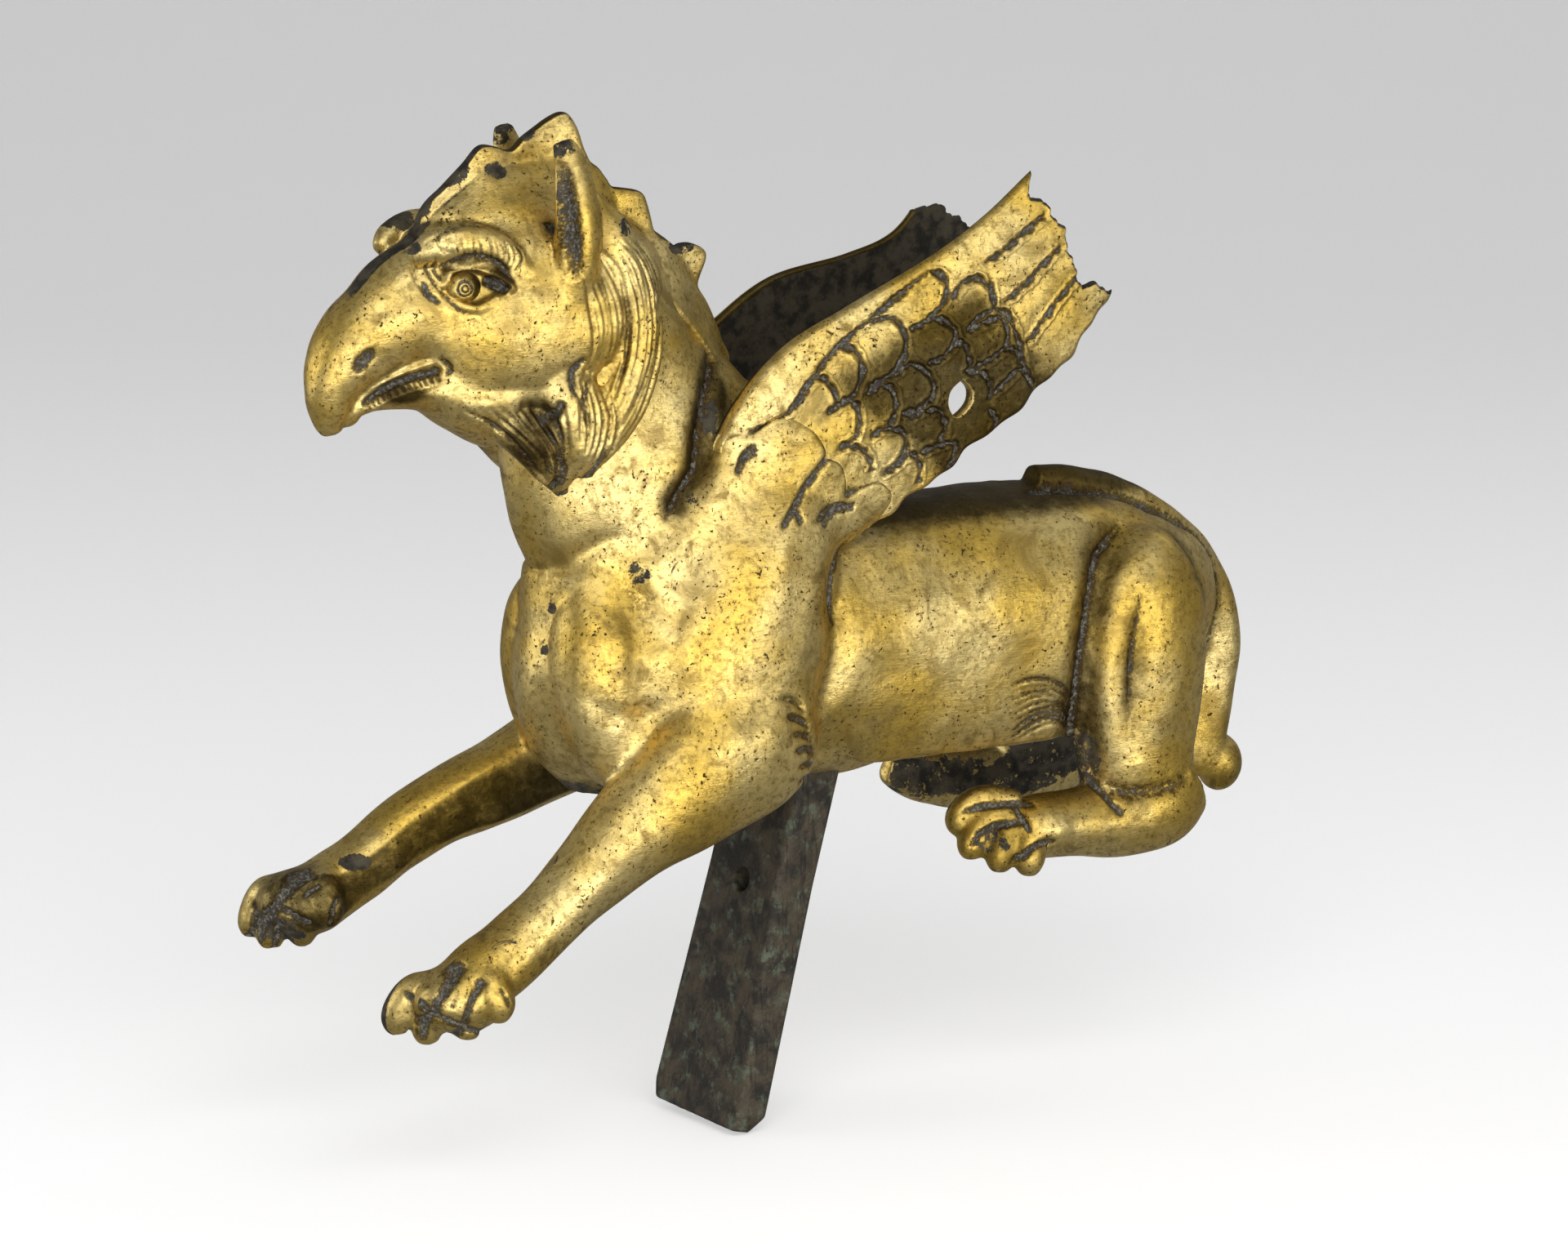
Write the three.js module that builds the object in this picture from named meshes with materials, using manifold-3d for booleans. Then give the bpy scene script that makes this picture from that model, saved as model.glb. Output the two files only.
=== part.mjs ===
// Crouching griffin: a gilded bronze casting, open below, fixed on a bare bronze tang.
// Millimetres, +Z up. The griffin faces -X and its left side is towards -Y.
// The origin is the middle of the flat end face of the tang.

import * as THREE from 'three';
import { mergeVertices } from 'three/addons/utils/BufferGeometryUtils.js';
import Module from 'manifold-3d';

const wasm = await Module();
wasm.setup();

// Driving dimensions
const FIGURE_LENGTH = 267; // forward paw to the back of the tail
const WALL = 3; // bronze left round the hollow of the barrel
const LEG_GAP = 34; // between the flat inner sides of the legs
const WING_THICKNESS = 2.8;
const FEATHER_RELIEF = 1.1;
const CREST_THICKNESS = 3.6;
const TANG_SHOWING = 86.7; // along the tang, end face to the underside of the chest
const TANG_SEAT_DEPTH = 22; // part of the tang let into the chest
const TANG_FOOT_WIDTH = 36;
const TANG_NECK_WIDTH = 28;
const TANG_FOOT_THICKNESS = 9;
const TANG_NECK_THICKNESS = 12.5;
const TANG_LEAN = THREE.MathUtils.degToRad(14.8);
const TANG_TURN = THREE.MathUtils.degToRad(8);
const PIN_HOLE_DIAMETER = 6;
const PIN_HOLE_HEIGHT = 60; // from the end face, along the tang
const SEAT_CLEARANCE = 0.35;

// The free forms are drawn between the foremost and the rearmost point and scaled to the figure's length.
// Their zero is where the tang's centre line meets the flat underside of the chest.
const drawn = { foremost: -131, rearmost: 136 };
const scale = FIGURE_LENGTH / (drawn.rearmost - drawn.foremost);
const nearSide = -1;
const farSide = 1;
const lateral = new THREE.Vector3(0, 1, 0);

// Closed solids from rings of points

function manifoldFrom(points, triangles) {
  const vertProperties = new Float32Array(points.flatMap((p) => [p.x * scale, p.y * scale, p.z * scale]));
  const build = (order) => {
    const triVerts = new Uint32Array(order);
    return new wasm.Manifold(new wasm.Mesh({ numProp: 3, vertProperties, triVerts }));
  };
  const solid = build(triangles);
  return solid.volume() > 0 ? solid : build([...triangles].reverse());
}

function skin(rings) {
  const sides = rings[0].length;
  const points = rings.flat();
  const triangles = [];
  for (let ring = 0; ring + 1 < rings.length; ring += 1) {
    for (let side = 0; side < sides; side += 1) {
      const a = ring * sides + side;
      const b = ring * sides + (side + 1) % sides;
      triangles.push(a, b, b + sides, a, b + sides, a + sides);
    }
  }
  for (const [start, inward] of [[0, true], [(rings.length - 1) * sides, false]]) {
    const centre = points.length;
    const sum = points.slice(start, start + sides).reduce((t, p) => t.add(p), new THREE.Vector3());
    points.push(sum.divideScalar(sides));
    for (let side = 0; side < sides; side += 1) {
      const a = start + side;
      const b = start + (side + 1) % sides;
      triangles.push(centre, ...(inward ? [b, a] : [a, b]));
    }
  }
  return manifoldFrom(points, triangles);
}

function smooth(values, u) {
  const last = values.length - 1;
  const index = Math.min(Math.floor(u), last - 1);
  const t = u - index;
  const [p1, p2] = [values[index], values[index + 1]];
  const p0 = index > 0 ? values[index - 1] : 2 * p1 - p2;
  const p3 = index + 2 <= last ? values[index + 2] : 2 * p2 - p1;
  const c2 = 2 * p0 - 5 * p1 + 4 * p2 - p3;
  const c3 = 3 * p1 - p0 - 3 * p2 + p3;
  return 0.5 * (2 * p1 + (p2 - p0) * t + c2 * t * t + c3 * t * t * t);
}

// A station is [x, y, z, half width, height above, height below, squareness].
// The path runs from the nose or paw towards the tail, so above is the animal's outer side.
// A squareness of 2 is an ellipse, and more is squarer.
const ellipse = 2;
const thinnest = 0.3;

function loft(stations, sides, steps = 1) {
  const columns = [0, 1, 2, 3, 4, 5, 6].map((i) => stations.map((s) => s[i] ?? ellipse));
  const count = (stations.length - 1) * steps;
  const centre = (u) => new THREE.Vector3(...columns.slice(0, 3).map((c) => smooth(c, u)));
  const rings = [];
  for (let i = 0; i <= count; i += 1) {
    const u = i / steps;
    const along = centre(Math.min(u + 0.1, count / steps)).sub(centre(Math.max(u - 0.1, 0))).normalize();
    const across = lateral.clone().addScaledVector(along, -lateral.dot(along)).normalize();
    const above = along.clone().cross(across);
    const [wide, high, low, square] = columns.slice(3).map((c) => Math.max(smooth(c, u), thinnest));
    rings.push(Array.from({ length: sides }, (_, k) => {
      const angle = (2 * Math.PI * (k + 0.5)) / sides;
      const [c, s] = [Math.cos(angle), Math.sin(angle)];
      const tall = s > 0 ? high : low;
      const reach = (Math.abs(c) ** square + Math.abs(s) ** square) ** (-1 / square);
      return centre(u).addScaledVector(across, c * wide * reach).addScaledVector(above, s * tall * reach);
    }));
  }
  return skin(rings);
}

function ball([x, y, z], [rx, ry, rz], detail = 8) {
  const rings = [];
  const rows = detail / 2;
  for (let row = 0; row < rows; row += 1) {
    const polar = (Math.PI * (row + 0.5)) / rows;
    const [flat, up] = [Math.sin(polar), Math.cos(polar)];
    rings.push(Array.from({ length: detail }, (_, k) => {
      const turn = (2 * Math.PI * k) / detail;
      return new THREE.Vector3(x + rx * flat * Math.cos(turn), y + ry * flat * Math.sin(turn), z + rz * up);
    }));
  }
  return skin(rings);
}

// A flat plate with an outline in the X-Z plane, between two values of Y
function plate(outline, yLow, yHigh) {
  const shape = new THREE.Shape(outline.map(([x, z]) => new THREE.Vector2(x, z)));
  const extruded = new THREE.ExtrudeGeometry(shape, { depth: yHigh - yLow, bevelEnabled: false });
  extruded.rotateX(Math.PI / 2).translate(0, yHigh, 0);
  extruded.deleteAttribute('normal');
  extruded.deleteAttribute('uv');
  const merged = mergeVertices(extruded);
  const { position } = merged.attributes;
  const corner = (_, i) => new THREE.Vector3().fromBufferAttribute(position, i);
  return manifoldFrom(Array.from({ length: position.count }, corner), Array.from(merged.index.array));
}

// A plate between Y = 0 and both sides, with its own half thickness at each point of the outline
function taperedPlate(outline) {
  const flat = outline.map(([x, z]) => new THREE.Vector2(x, z));
  const faces = THREE.ShapeUtils.triangulateShape(flat, []);
  const count = outline.length;
  const face = (side) => outline.map(([x, z, half]) => new THREE.Vector3(x, side * half, z));
  const points = [...face(nearSide), ...face(farSide)];
  const triangles = faces.flatMap(([a, b, c]) => [a, b, c, a + count, c + count, b + count]);
  const turning = THREE.ShapeUtils.isClockWise(flat);
  const walls = outline.flatMap((_, a) => {
    const b = (a + 1) % count;
    return turning ? [a, b, b + count, a, b + count, a + count] : [b, a, a + count, b, a + count, b + count];
  });
  return manifoldFrom(points, [...triangles, ...walls]);
}

const beyond = 160; // cuts run past the figure on every side
const union = (solids) => solids.reduce((whole, solid) => whole.add(solid));
const bothSides = (make) => [make(nearSide), make(farSide)];

// Trunk, neck and head

function trunk() {
  return loft([
    [-60, 0, 33, 15, 13, 14],
    [-50, 0, 34, 23, 22, 22],
    [-38, 0, 35, 27.5, 30, 28],
    [-18, 0, 35, 28.5, 35, 31],
    [2, 0, 34, 28, 34.5, 32],
    [26, 0, 33.5, 27, 33.5, 43, 2.3],
    [55, 0, 33.5, 27.5, 33.5, 44, 2.3],
    [80, 0, 33, 27, 32, 43, 2.3],
    [102, 0, 29, 24, 28, 34],
    [115, 0, 23.5, 13.5, 22, 25],
    [121.5, 0, 20, 6.5, 14, 17],
    [125, 0, 18, 3, 5, 7],
  ], 16);
}

function neck() {
  return loft([
    [-56, 0, 138, 12, 11, 12],
    [-54, 0, 127, 17, 20, 20],
    [-50, 0, 114, 17.5, 24, 25],
    [-46, 0, 100, 18, 29, 31],
    [-40, 0, 86, 20, 33, 36],
    [-32, 0, 71, 23, 37, 38],
    [-29, 0, 54, 26.5, 38, 40.5],
    [-27, 0, 39, 28, 36, 45],
    [-25, 0, 25, 27, 34, 44],
    [-22, 0, 12, 22, 28, 37],
  ], 14);
}

function pectorals() {
  return bothSides((side) => loft([
    [-56.5, side * 9, 56, 6, 6, 8],
    [-56.5, side * 12, 45, 11, 8, 12],
    [-56, side * 13, 31, 11.5, 9, 12.5],
    [-52, side * 15, 17, 9, 8, 11],
    [-48, side * 16, 9, 5, 5, 6],
  ], 8));
}

function head() {
  return union([
    loft([
      [-120, 0, 97.6, 2, 2.6, 2],
      [-121, 0, 102, 4.4, 4.6, 4.6],
      [-120.3, 0, 109.5, 7, 6.6, 7.8],
      [-115.8, 0, 117, 9, 9, 12],
      [-108, 0, 122.5, 10.5, 11.5, 13.5],
      [-99, 0, 125.6, 12.5, 16, 15.5],
      [-87, 0, 124, 16.5, 23.5, 24, 2.2],
      [-73, 0, 122, 19, 28, 27, 2.2],
      [-58.5, 0, 122, 20, 27, 24],
      [-46.5, 0, 122, 18.5, 21, 20],
      [-38.5, 0, 120, 12, 12, 13],
    ], 16),
    loft([
      [-116.5, 0, 101.6, 3, 4, 1.6],
      [-112.5, 0, 104.2, 4.4, 5.5, 2.8],
      [-106, 0, 106.5, 7.2, 9, 4.6],
      [-98, 0, 107.5, 10.8, 10, 6.5],
      [-88, 0, 106, 14, 12, 11],
      [-78, 0, 104, 15, 12, 14],
    ], 10),
    ball([-116.5, 0, 102.6], [4, 3.4, 3.8]),
  ]);
}

function crest() {
  const edge = CREST_THICKNESS / scale / 2;
  const root = edge + 6; // the ridge spreads towards the skull
  const rim = [
    [-101, 139.5], [-96, 149], [-91, 153.3], [-85.5, 158], [-81.2, 162.2], [-77, 161.8], [-73, 160.8],
    [-69.4, 163.8], [-63, 167.6], [-58.5, 168.8], [-56, 166], [-53.5, 159.5], [-48.8, 151.2], [-43.5, 149.6],
    [-38.3, 148.2], [-36.5, 145.5], [-34.6, 138], [-33.3, 134.6], [-29, 133.9], [-24.5, 134.6], [-20.4, 132],
    [-22.3, 126.5], [-23.6, 121], [-22.6, 117.4], [-19.5, 114.5], [-14, 105],
  ];
  const base = [[-28, 98], [-40, 114], [-54, 132], [-74, 140], [-92, 134]];
  const outline = [...rim.map((point) => [...point, edge]), ...base.map((point) => [...point, root])];
  const gable = 1.1; // the forehead and the nape rise to the crest like a roof
  const slopes = loft([
    [-101, 0, 136, 9, 4, 4, gable],
    [-92, 0, 138, 13.5, 12, 6, gable],
    [-82, 0, 138, 15.5, 20, 6, gable],
    [-70, 0, 138, 16, 22, 6, gable],
    [-59, 0, 137, 11, 22, 6, gable],
    [-50, 0, 132, 10, 13, 6, gable],
    [-40, 0, 126, 13, 14, 6, gable],
    [-30, 0, 116, 12, 11, 6, gable],
    [-22, 0, 106, 9, 8, 5, gable],
  ], 8);
  return taperedPlate(outline).add(slopes);
}

function brow(side) {
  return loft([
    [-102, side * 9.5, 139, 2.4, 2.4, 4],
    [-99.5, side * 12, 141.5, 3.6, 2.8, 5],
    [-94, side * 14.4, 142.8, 4, 3, 5.5],
    [-87, side * 16.2, 141.5, 3.4, 2.8, 5],
    [-79.5, side * 17.6, 137, 2.2, 2, 4],
  ], 8);
}

function eye(side) {
  return ball([-92.5, side * 14, 131.5], [5, 3.6, 4.2]);
}

function ear(side) {
  const leaf = loft([
    [-65, side * 15.5, 128, 4.6, 5, 5.5],
    [-64.5, side * 17.5, 138, 4.8, 5.6, 6],
    [-64.5, side * 17.4, 149, 4.2, 5.2, 5.6],
    [-65.3, side * 16.2, 158, 3, 4, 4.2],
    [-66.8, side * 15, 164.2, 1.8, 2.4, 2.4],
  ], 8);
  const bowl = loft([
    [-66.5, side * 22.8, 132, 2, 2, 2.2],
    [-66, side * 23.4, 141, 3.2, 2.8, 3],
    [-66.2, side * 22.4, 151, 2.6, 2.2, 2.4],
    [-67, side * 20, 158, 1.2, 1, 1],
  ], 6);
  return leaf.subtract(bowl);
}

// The mane is a thick collar behind the cheek, ending in the locks of the beard
function mane(side) {
  const collar = loft([
    [-60, side * 14, 150, 4, 3.5, 3.5],
    [-53, side * 16.5, 139, 4.6, 5, 5],
    [-48, side * 17.5, 124, 5, 5.4, 5.4],
    [-48, side * 17.5, 109, 5, 5.6, 5.6],
    [-54, side * 17, 97, 5, 5.4, 5.4],
    [-62, side * 15.5, 89, 4, 4, 4],
  ], 8);
  const rows = [
    { from: [-62, 13, 114], bend: [-53, 19.6, 103], to: [-57, 19, 89] },
    { from: [-69, 12, 108], bend: [-61, 18.4, 97], to: [-64, 17.2, 84] },
    { from: [-76, 9, 104], bend: [-68, 14.6, 93], to: [-69.5, 13.4, 80] },
    { from: [-82, 5, 101], bend: [-73.5, 8, 93], to: [-68.5, 8, 83] },
  ];
  const locks = rows.map(({ from, bend, to }) => {
    const at = ([x, y, z], deep, wide) => [x, side * y, z, deep, wide, wide];
    return loft([at(from, 2.7, 4), at(bend, 3.7, 5.5), at(to, 1.2, 1.8)], 6);
  });
  return union([collar, ...locks]);
}

// Legs. Their inner sides are flat and ungilded.

function flatInside(leg, side) {
  const inside = LEG_GAP / scale / 2;
  const [low, high] = side < 0 ? [-inside, beyond] : [-beyond, inside];
  const all = [[-beyond, -beyond], [beyond, -beyond], [beyond, beyond], [-beyond, beyond]];
  return leg.subtract(plate(all, low, high));
}

// Each toe bends down from the top of the paw to its tip
function toes(side, knuckles, { x, y, z }, thick) {
  return knuckles.map(([tipX, tipY, tipZ]) => {
    const towards = (share, rise) => [
      THREE.MathUtils.lerp(tipX, x, share),
      side * THREE.MathUtils.lerp(tipY, y, share),
      THREE.MathUtils.lerp(tipZ, z, share) + rise,
    ];
    return loft([
      [...towards(0, -thick * 0.6), thick * 0.6, thick * 0.55, thick * 0.5],
      [...towards(-0.04, thick * 0.35), thick, thick * 0.95, thick],
      [...towards(0.22, thick * 1.5), thick, thick, thick],
      [...towards(0.7, thick * 1.2), thick, thick, thick],
    ], 6);
  });
}

function foreleg(side, stations, knuckles, paw) {
  const leg = flatInside(loft(stations, 10), side);
  const pad = ball([paw.x, side * paw.y, paw.z], [12, 10, 8.5]);
  return union([leg, pad, ...toes(side, knuckles, paw, 4.2)]);
}

function forelegs() {
  const near = [
    [-105, -25, -37, 8, 6, 6],
    [-97, -25, -31.5, 9, 8.5, 8.5],
    [-87, -25, -26, 8.8, 8.2, 8.8],
    [-77, -25, -18.5, 8.5, 8, 8.5],
    [-66, -25, -9, 9.5, 9, 10.5],
    [-53, -25, 1, 11, 12, 14],
    [-38, -25, 10, 12, 16.5, 17.5],
    [-22, -24, 19, 12, 20, 20],
    [-13, -22, 27, 10, 17, 16],
  ];
  const nearToes = [[-113, 17, -42], [-108.5, 23, -43.5], [-101.5, 29, -42], [-96, 33.5, -37.5]];
  const far = [
    [-122, 25, -24, 8, 6, 6],
    [-114, 25, -20.5, 9, 8.5, 8.5],
    [-104, 25, -15.5, 8.5, 7.8, 8.6],
    [-93, 25, -9, 8.5, 8.5, 8.6],
    [-80, 25, -3.2, 9.5, 9.2, 9.2],
    [-64, 25, 2.5, 11, 9.5, 11],
    [-44, 25, 11, 12, 12, 14.5],
    [-26, 24, 20, 12, 18, 20],
    [-13, 22, 27, 10, 17, 16],
  ];
  const farToes = [[-127, 33, -28.5], [-125, 27.5, -30.5], [-120, 22, -29], [-115.5, 17, -23.5]];
  return [
    foreleg(nearSide, near, nearToes, { x: -101, y: 25, z: -35.5 }),
    foreleg(farSide, far, farToes, { x: -117.5, y: 25, z: -21.5 }),
  ];
}

function shoulder(side) {
  return loft([
    [-30, side * 22, 8, 10, 15, 18],
    [-25, side * 22.5, 22, 10.5, 20, 22],
    [-22, side * 22.5, 40, 10.5, 23, 24],
    [-17, side * 21.5, 57, 10, 22, 22],
    [-10, side * 20, 72, 8.5, 19, 18],
    [-3, side * 19, 84, 5, 14, 14],
  ], 10);
}

function thigh(side) {
  return loft([
    [87, side * 24, -12, 9, 12, 17.5],
    [87.5, side * 24, 2, 10.5, 15, 18.5],
    [89, side * 24, 20, 11, 17.5, 19.5],
    [91.5, side * 23.5, 35, 10.5, 18.5, 17.5],
    [93.5, side * 21.5, 44, 9.5, 16.5, 14.5],
    [95, side * 19, 51, 7, 11, 9.5],
    [96, side * 17, 55, 3.5, 5, 5],
  ], 10);
}

function rump(side) {
  return ball([94, side * 12, 27], [18.5, 15.5, 28]);
}

function lowerHindLeg(side, front, instep) {
  return flatInside(loft([
    ...front,
    [69, side * 26, -15, 9, instep, 8.5],
    [82, side * 26, -14.5, 9.5, instep + 1.5, 11],
    [94, side * 26, -12, 9.5, 10.5, 13],
    [103, side * 25, -7.5, 7, 9, 11],
  ], 10), side);
}

// The near foot is whole. The far foot is broken off and tapers to its break.
function hindFeet() {
  const paw = { x: 60, y: 26, z: -14.5 };
  const knuckles = [[42, 18.5, -13.5], [43, 22.5, -19], [48, 27, -22], [53.5, 31, -22.5]];
  const pad = ball([paw.x, nearSide * paw.y, paw.z], [11, 9.5, 7.5]);
  const near = lowerHindLeg(nearSide, [[56, nearSide * 26, -14.5, 8.5, 7.5, 8]], 8);
  const far = lowerHindLeg(farSide, [
    [42, farSide * 18.5, -8.5, 3, 4, 3],
    [50, farSide * 21, -11, 5.5, 7.5, 5.5],
    [59, farSide * 24, -13.5, 7.5, 10.5, 7],
  ], 12);
  return [near, pad, ...toes(nearSide, knuckles, paw, 4), far];
}

function tail() {
  return union([
    loft([
      [72.5, 0, 66.6, 4.4, 4, 5],
      [84, 0, 65, 4.8, 4.4, 7],
      [104, 0, 57.6, 5, 4.6, 8],
      [118.5, 0, 46.6, 5.2, 4.6, 9],
      [127.5, 0, 33.5, 5.4, 4.6, 10],
      [130.8, 0, 20, 5.4, 4.6, 11],
      [128.6, 0, 3, 5.2, 4.4, 11],
      [126.5, 0, -10, 5, 4.5, 9],
      [126, 0, -16, 4, 4, 5],
    ], 7, 2),
    ball([130.5, 0, -13], [6, 6, 7.5], 8),
  ]);
}

// Wings. A point on a wing is its share s from root to tip and t from leading to trailing edge.

const wingOut = { root: 20.5, flare: 3.5, bow: 2.6, twist: 2 };
const rootSwell = 2.5;
const leadingEdge = [
  [-36, 70], [-31, 86], [-24.7, 98.5], [-11.3, 111.4],
  [6.7, 119.9], [29.6, 130], [44.5, 138.6], [57.2, 148.3],
];
const trailingEdge = [
  [0, 56], [10, 63.5], [24.8, 72], [40.5, 81.8], [58.5, 93.8], [70.8, 105], [79.8, 117.8],
];

function wingPoint(wing, s, t, lift) {
  const at = (edge, axis) => smooth(edge.map((p) => p[axis]), s * (edge.length - 1));
  const [x, z] = [0, 1].map((axis) => THREE.MathUtils.lerp(at(wing.lead, axis), at(wing.trail, axis), t));
  const bow = wingOut.bow * Math.sin(Math.PI * t) * (1 - s / 2);
  const out = wingOut.root + wingOut.flare * s + bow - wingOut.twist * (1 - t) * s;
  return new THREE.Vector3(x, wing.side * (out + lift), z);
}

function edgeAt(wing, t) {
  const next = wing.end.findIndex(([across]) => across >= t);
  const [[t1, s1], [t2, s2]] = [wing.end[Math.max(next - 1, 0)], wing.end[Math.max(next, 1)]];
  return THREE.MathUtils.lerp(s1, s2, (t - t1) / (t2 - t1));
}

function wingBlade(wing) {
  const along = 7;
  const across = 5;
  const half = WING_THICKNESS / scale / 2;
  const ring = (s) => {
    const depth = half + rootSwell * (1 - s) ** 3;
    const front = Array.from({ length: across + 1 }, (_, j) => j / across);
    const row = (list, lift) => list.map((t) => wingPoint(wing, s * edgeAt(wing, t), t, lift));
    return [...row(front, depth), ...row([...front].reverse(), -depth)];
  };
  return skin(Array.from({ length: along + 1 }, (_, i) => ring(i / along)));
}

function feather(wing, tip, middle, { length, half }) {
  const lift = FEATHER_RELIEF / scale;
  const start = tip - length;
  const round = Math.min(length * 0.45, 0.075);
  const corners = 3;
  const rim = Array.from({ length: corners + 1 }, (_, k) => {
    const turn = (Math.PI * k) / corners;
    return [tip - round * (1 - Math.sin(turn)), middle - half * Math.cos(turn), lift];
  });
  const sunk = -0.4;
  const outline = [[start, middle - half * 0.8, sunk], ...rim, [start, middle + half * 0.8, sunk]];
  const surface = WING_THICKNESS / scale / 2;
  const top = outline.map(([s, t, up]) => wingPoint(wing, s, t, surface + up));
  const bottom = outline.map(([s, t]) => wingPoint(wing, s, t, 0));
  return skin([bottom, top]);
}

// Rows of covert feathers: wing shares [along, across] of the first and last tip
const featherRows = [
  { first: [0.42, 0.27], last: [0.7, 0.14], count: 4 },
  { first: [0.41, 0.44], last: [0.715, 0.45], count: 5 },
  { first: [0.32, 0.59], last: [0.72, 0.66], count: 5 },
  { first: [0.215, 0.79], last: [0.675, 0.84], count: 6 },
];
const quillGrooves = [0.02, 0.22, 0.43, 0.69, 0.97];
const quillsFrom = 0.72;
const grooveHalf = 0.015;

function wing(shape) {
  const plumes = featherRows.flatMap(({ first, last, count }) => Array.from({ length: count }, (_, k) => {
    const share = k / (count - 1);
    const [tip, middle] = [0, 1].map((axis) => THREE.MathUtils.lerp(first[axis], last[axis], share));
    return feather(shape, tip, middle, { length: 0.15, half: 0.1 });
  }));
  const capFeather = feather(shape, 0.335, 0.33, { length: 0.22, half: 0.16 });
  const quills = quillGrooves.slice(1).map((edge, k) => {
    const [start, stop] = [quillGrooves[k] + grooveHalf, edge - grooveHalf];
    const middle = (start + stop) / 2;
    const reach = Math.min(...[start, middle, stop].map((t) => edgeAt(shape, t))) - grooveHalf;
    return feather(shape, reach, middle, { length: reach - quillsFrom, half: (stop - start) / 2 });
  });
  const blade = union([wingBlade(shape), capFeather, ...plumes, ...quills]);
  return shape.hole ? blade.subtract(hole(shape)) : blade;
}

// The near wing has lost a scrap between two feathers
function hole(shape) {
  const corners = [[0.594, 0.65], [0.589, 0.735], [0.566, 0.795], [0.53, 0.805], [0.537, 0.725], [0.563, 0.662]];
  const [inner, outer] = [-8, 8].map((lift) => corners.map(([s, t]) => wingPoint(shape, s, t, lift)));
  return skin([inner, outer]);
}

function wings() {
  const brokenTip = [
    [0, 1], [0.08, 0.968], [0.2, 0.985], [0.42, 0.985], [0.6, 0.955], [0.78, 0.935], [0.86, 0.975], [1, 1],
  ];
  const lostTip = [[0, 0.915], [0.1, 0.955], [0.2, 0.978], [0.35, 0.985], [0.55, 1], [0.75, 0.97], [1, 0.985]];
  const wornEdge = [
    [-36, 70], [-31, 87], [-24, 98.5], [-7.5, 110.3], [9.4, 120.3], [31.5, 124.3], [45.7, 129], [56, 140.5],
  ];
  return [
    wing({ side: nearSide, lead: leadingEdge, trail: trailingEdge, end: brokenTip, hole: true }),
    wing({ side: farSide, lead: wornEdge, trail: trailingEdge, end: lostTip, hole: false }),
  ];
}

// Underside: the barrel is hollow and open below, the chest is filled round the tang

function trunkCut() {
  const [front, level] = [7, 5.5];
  const below = [[front, -beyond], [beyond, -beyond], [beyond, level], [front, level]];
  return plate(below, -beyond, beyond);
}

function hollow() {
  const wall = WALL / scale;
  return loft([
    [27, 0, 33, 21 - wall, 26 - wall, 39 - wall],
    [34, 0, 33.5, 26.5 - wall, 33 - wall, 44 - wall, 2.3],
    [55, 0, 33.5, 27.5 - wall, 33.5 - wall, 44 - wall, 2.3],
    [80, 0, 33, 27 - wall, 32 - wall, 43 - wall, 2.3],
    [100, 0, 29.5, 25 - wall, 27.5 - wall, 37 - wall, 2.3],
    [110, 0, 26, 20 - wall, 20 - wall, 32 - wall],
  ], 12);
}

function chestFill() {
  return loft([
    [-42, 0, 10, 16, 6, 8],
    [-30, 0, 10, 19, 10, 10],
    [-5, 0, 10, 19, 12, 10],
    [14, 0, 9, 17, 12, 9.5],
    [24, 0, 7, 11, 8, 7],
    [27, 0, 6, 6, 5, 3],
  ], 8);
}

// Tang: a tapered bar, leaning forward at its foot and turned a little, with a cross hole.
// Its corners and its foot are worn, and it keeps its neck size from the pin hole upwards.

const TANG_CORNER = 1.2;
const TANG_WORN_END = 3;
const TANG_NECK_FROM = 0.72; // share of the length that shows

const tangAxis = new THREE.Vector3(Math.sin(TANG_LEAN), 0, Math.cos(TANG_LEAN));
const tangWide = lateral.clone().applyAxisAngle(tangAxis, TANG_TURN);
const tangDeep = tangWide.clone().cross(tangAxis);
const seat = tangAxis.clone().multiplyScalar(TANG_SHOWING);

function tangBar(clearance) {
  const corner = TANG_CORNER;
  const ring = (height, width, depth, back = 0) => {
    const [w, d] = [width / 2 + clearance, depth / 2 + clearance];
    const outline = [[-w, -d + corner], [-w + corner, -d], [w - corner, -d], [w, -d + corner],
      [w, d - corner], [w - corner, d], [-w + corner, d], [-w, d - corner]];
    const middle = tangAxis.clone().multiplyScalar(height).addScaledVector(tangDeep, back);
    return outline.map(([a, b]) => middle.clone().addScaledVector(tangWide, a).addScaledVector(tangDeep, b));
  };
  const worn = TANG_WORN_END;
  const top = TANG_SHOWING + TANG_SEAT_DEPTH + clearance;
  const rings = [
    ring(0, TANG_FOOT_WIDTH - worn, TANG_FOOT_THICKNESS - worn),
    ring(worn * 1.5, TANG_FOOT_WIDTH, TANG_FOOT_THICKNESS, worn / 2),
    ring(TANG_SHOWING * TANG_NECK_FROM, TANG_NECK_WIDTH, TANG_NECK_THICKNESS, worn / 2),
    ring(top, TANG_NECK_WIDTH, TANG_NECK_THICKNESS, worn / 2),
  ];
  return skin(rings.map((points) => points.map((p) => p.divideScalar(scale))));
}

function pinHole() {
  const radius = PIN_HOLE_DIAMETER / 2;
  const reach = TANG_NECK_THICKNESS * 2;
  const centre = tangAxis.clone().multiplyScalar(PIN_HOLE_HEIGHT);
  const sides = 12;
  const ring = (along) => Array.from({ length: sides }, (_, k) => {
    const turn = (2 * Math.PI * k) / sides;
    return centre.clone().addScaledVector(tangDeep, along)
      .addScaledVector(tangWide, radius * Math.cos(turn))
      .addScaledVector(tangAxis, radius * Math.sin(turn))
      .divideScalar(scale);
  });
  return skin([ring(-reach), ring(reach)]);
}

// Assembly

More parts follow.
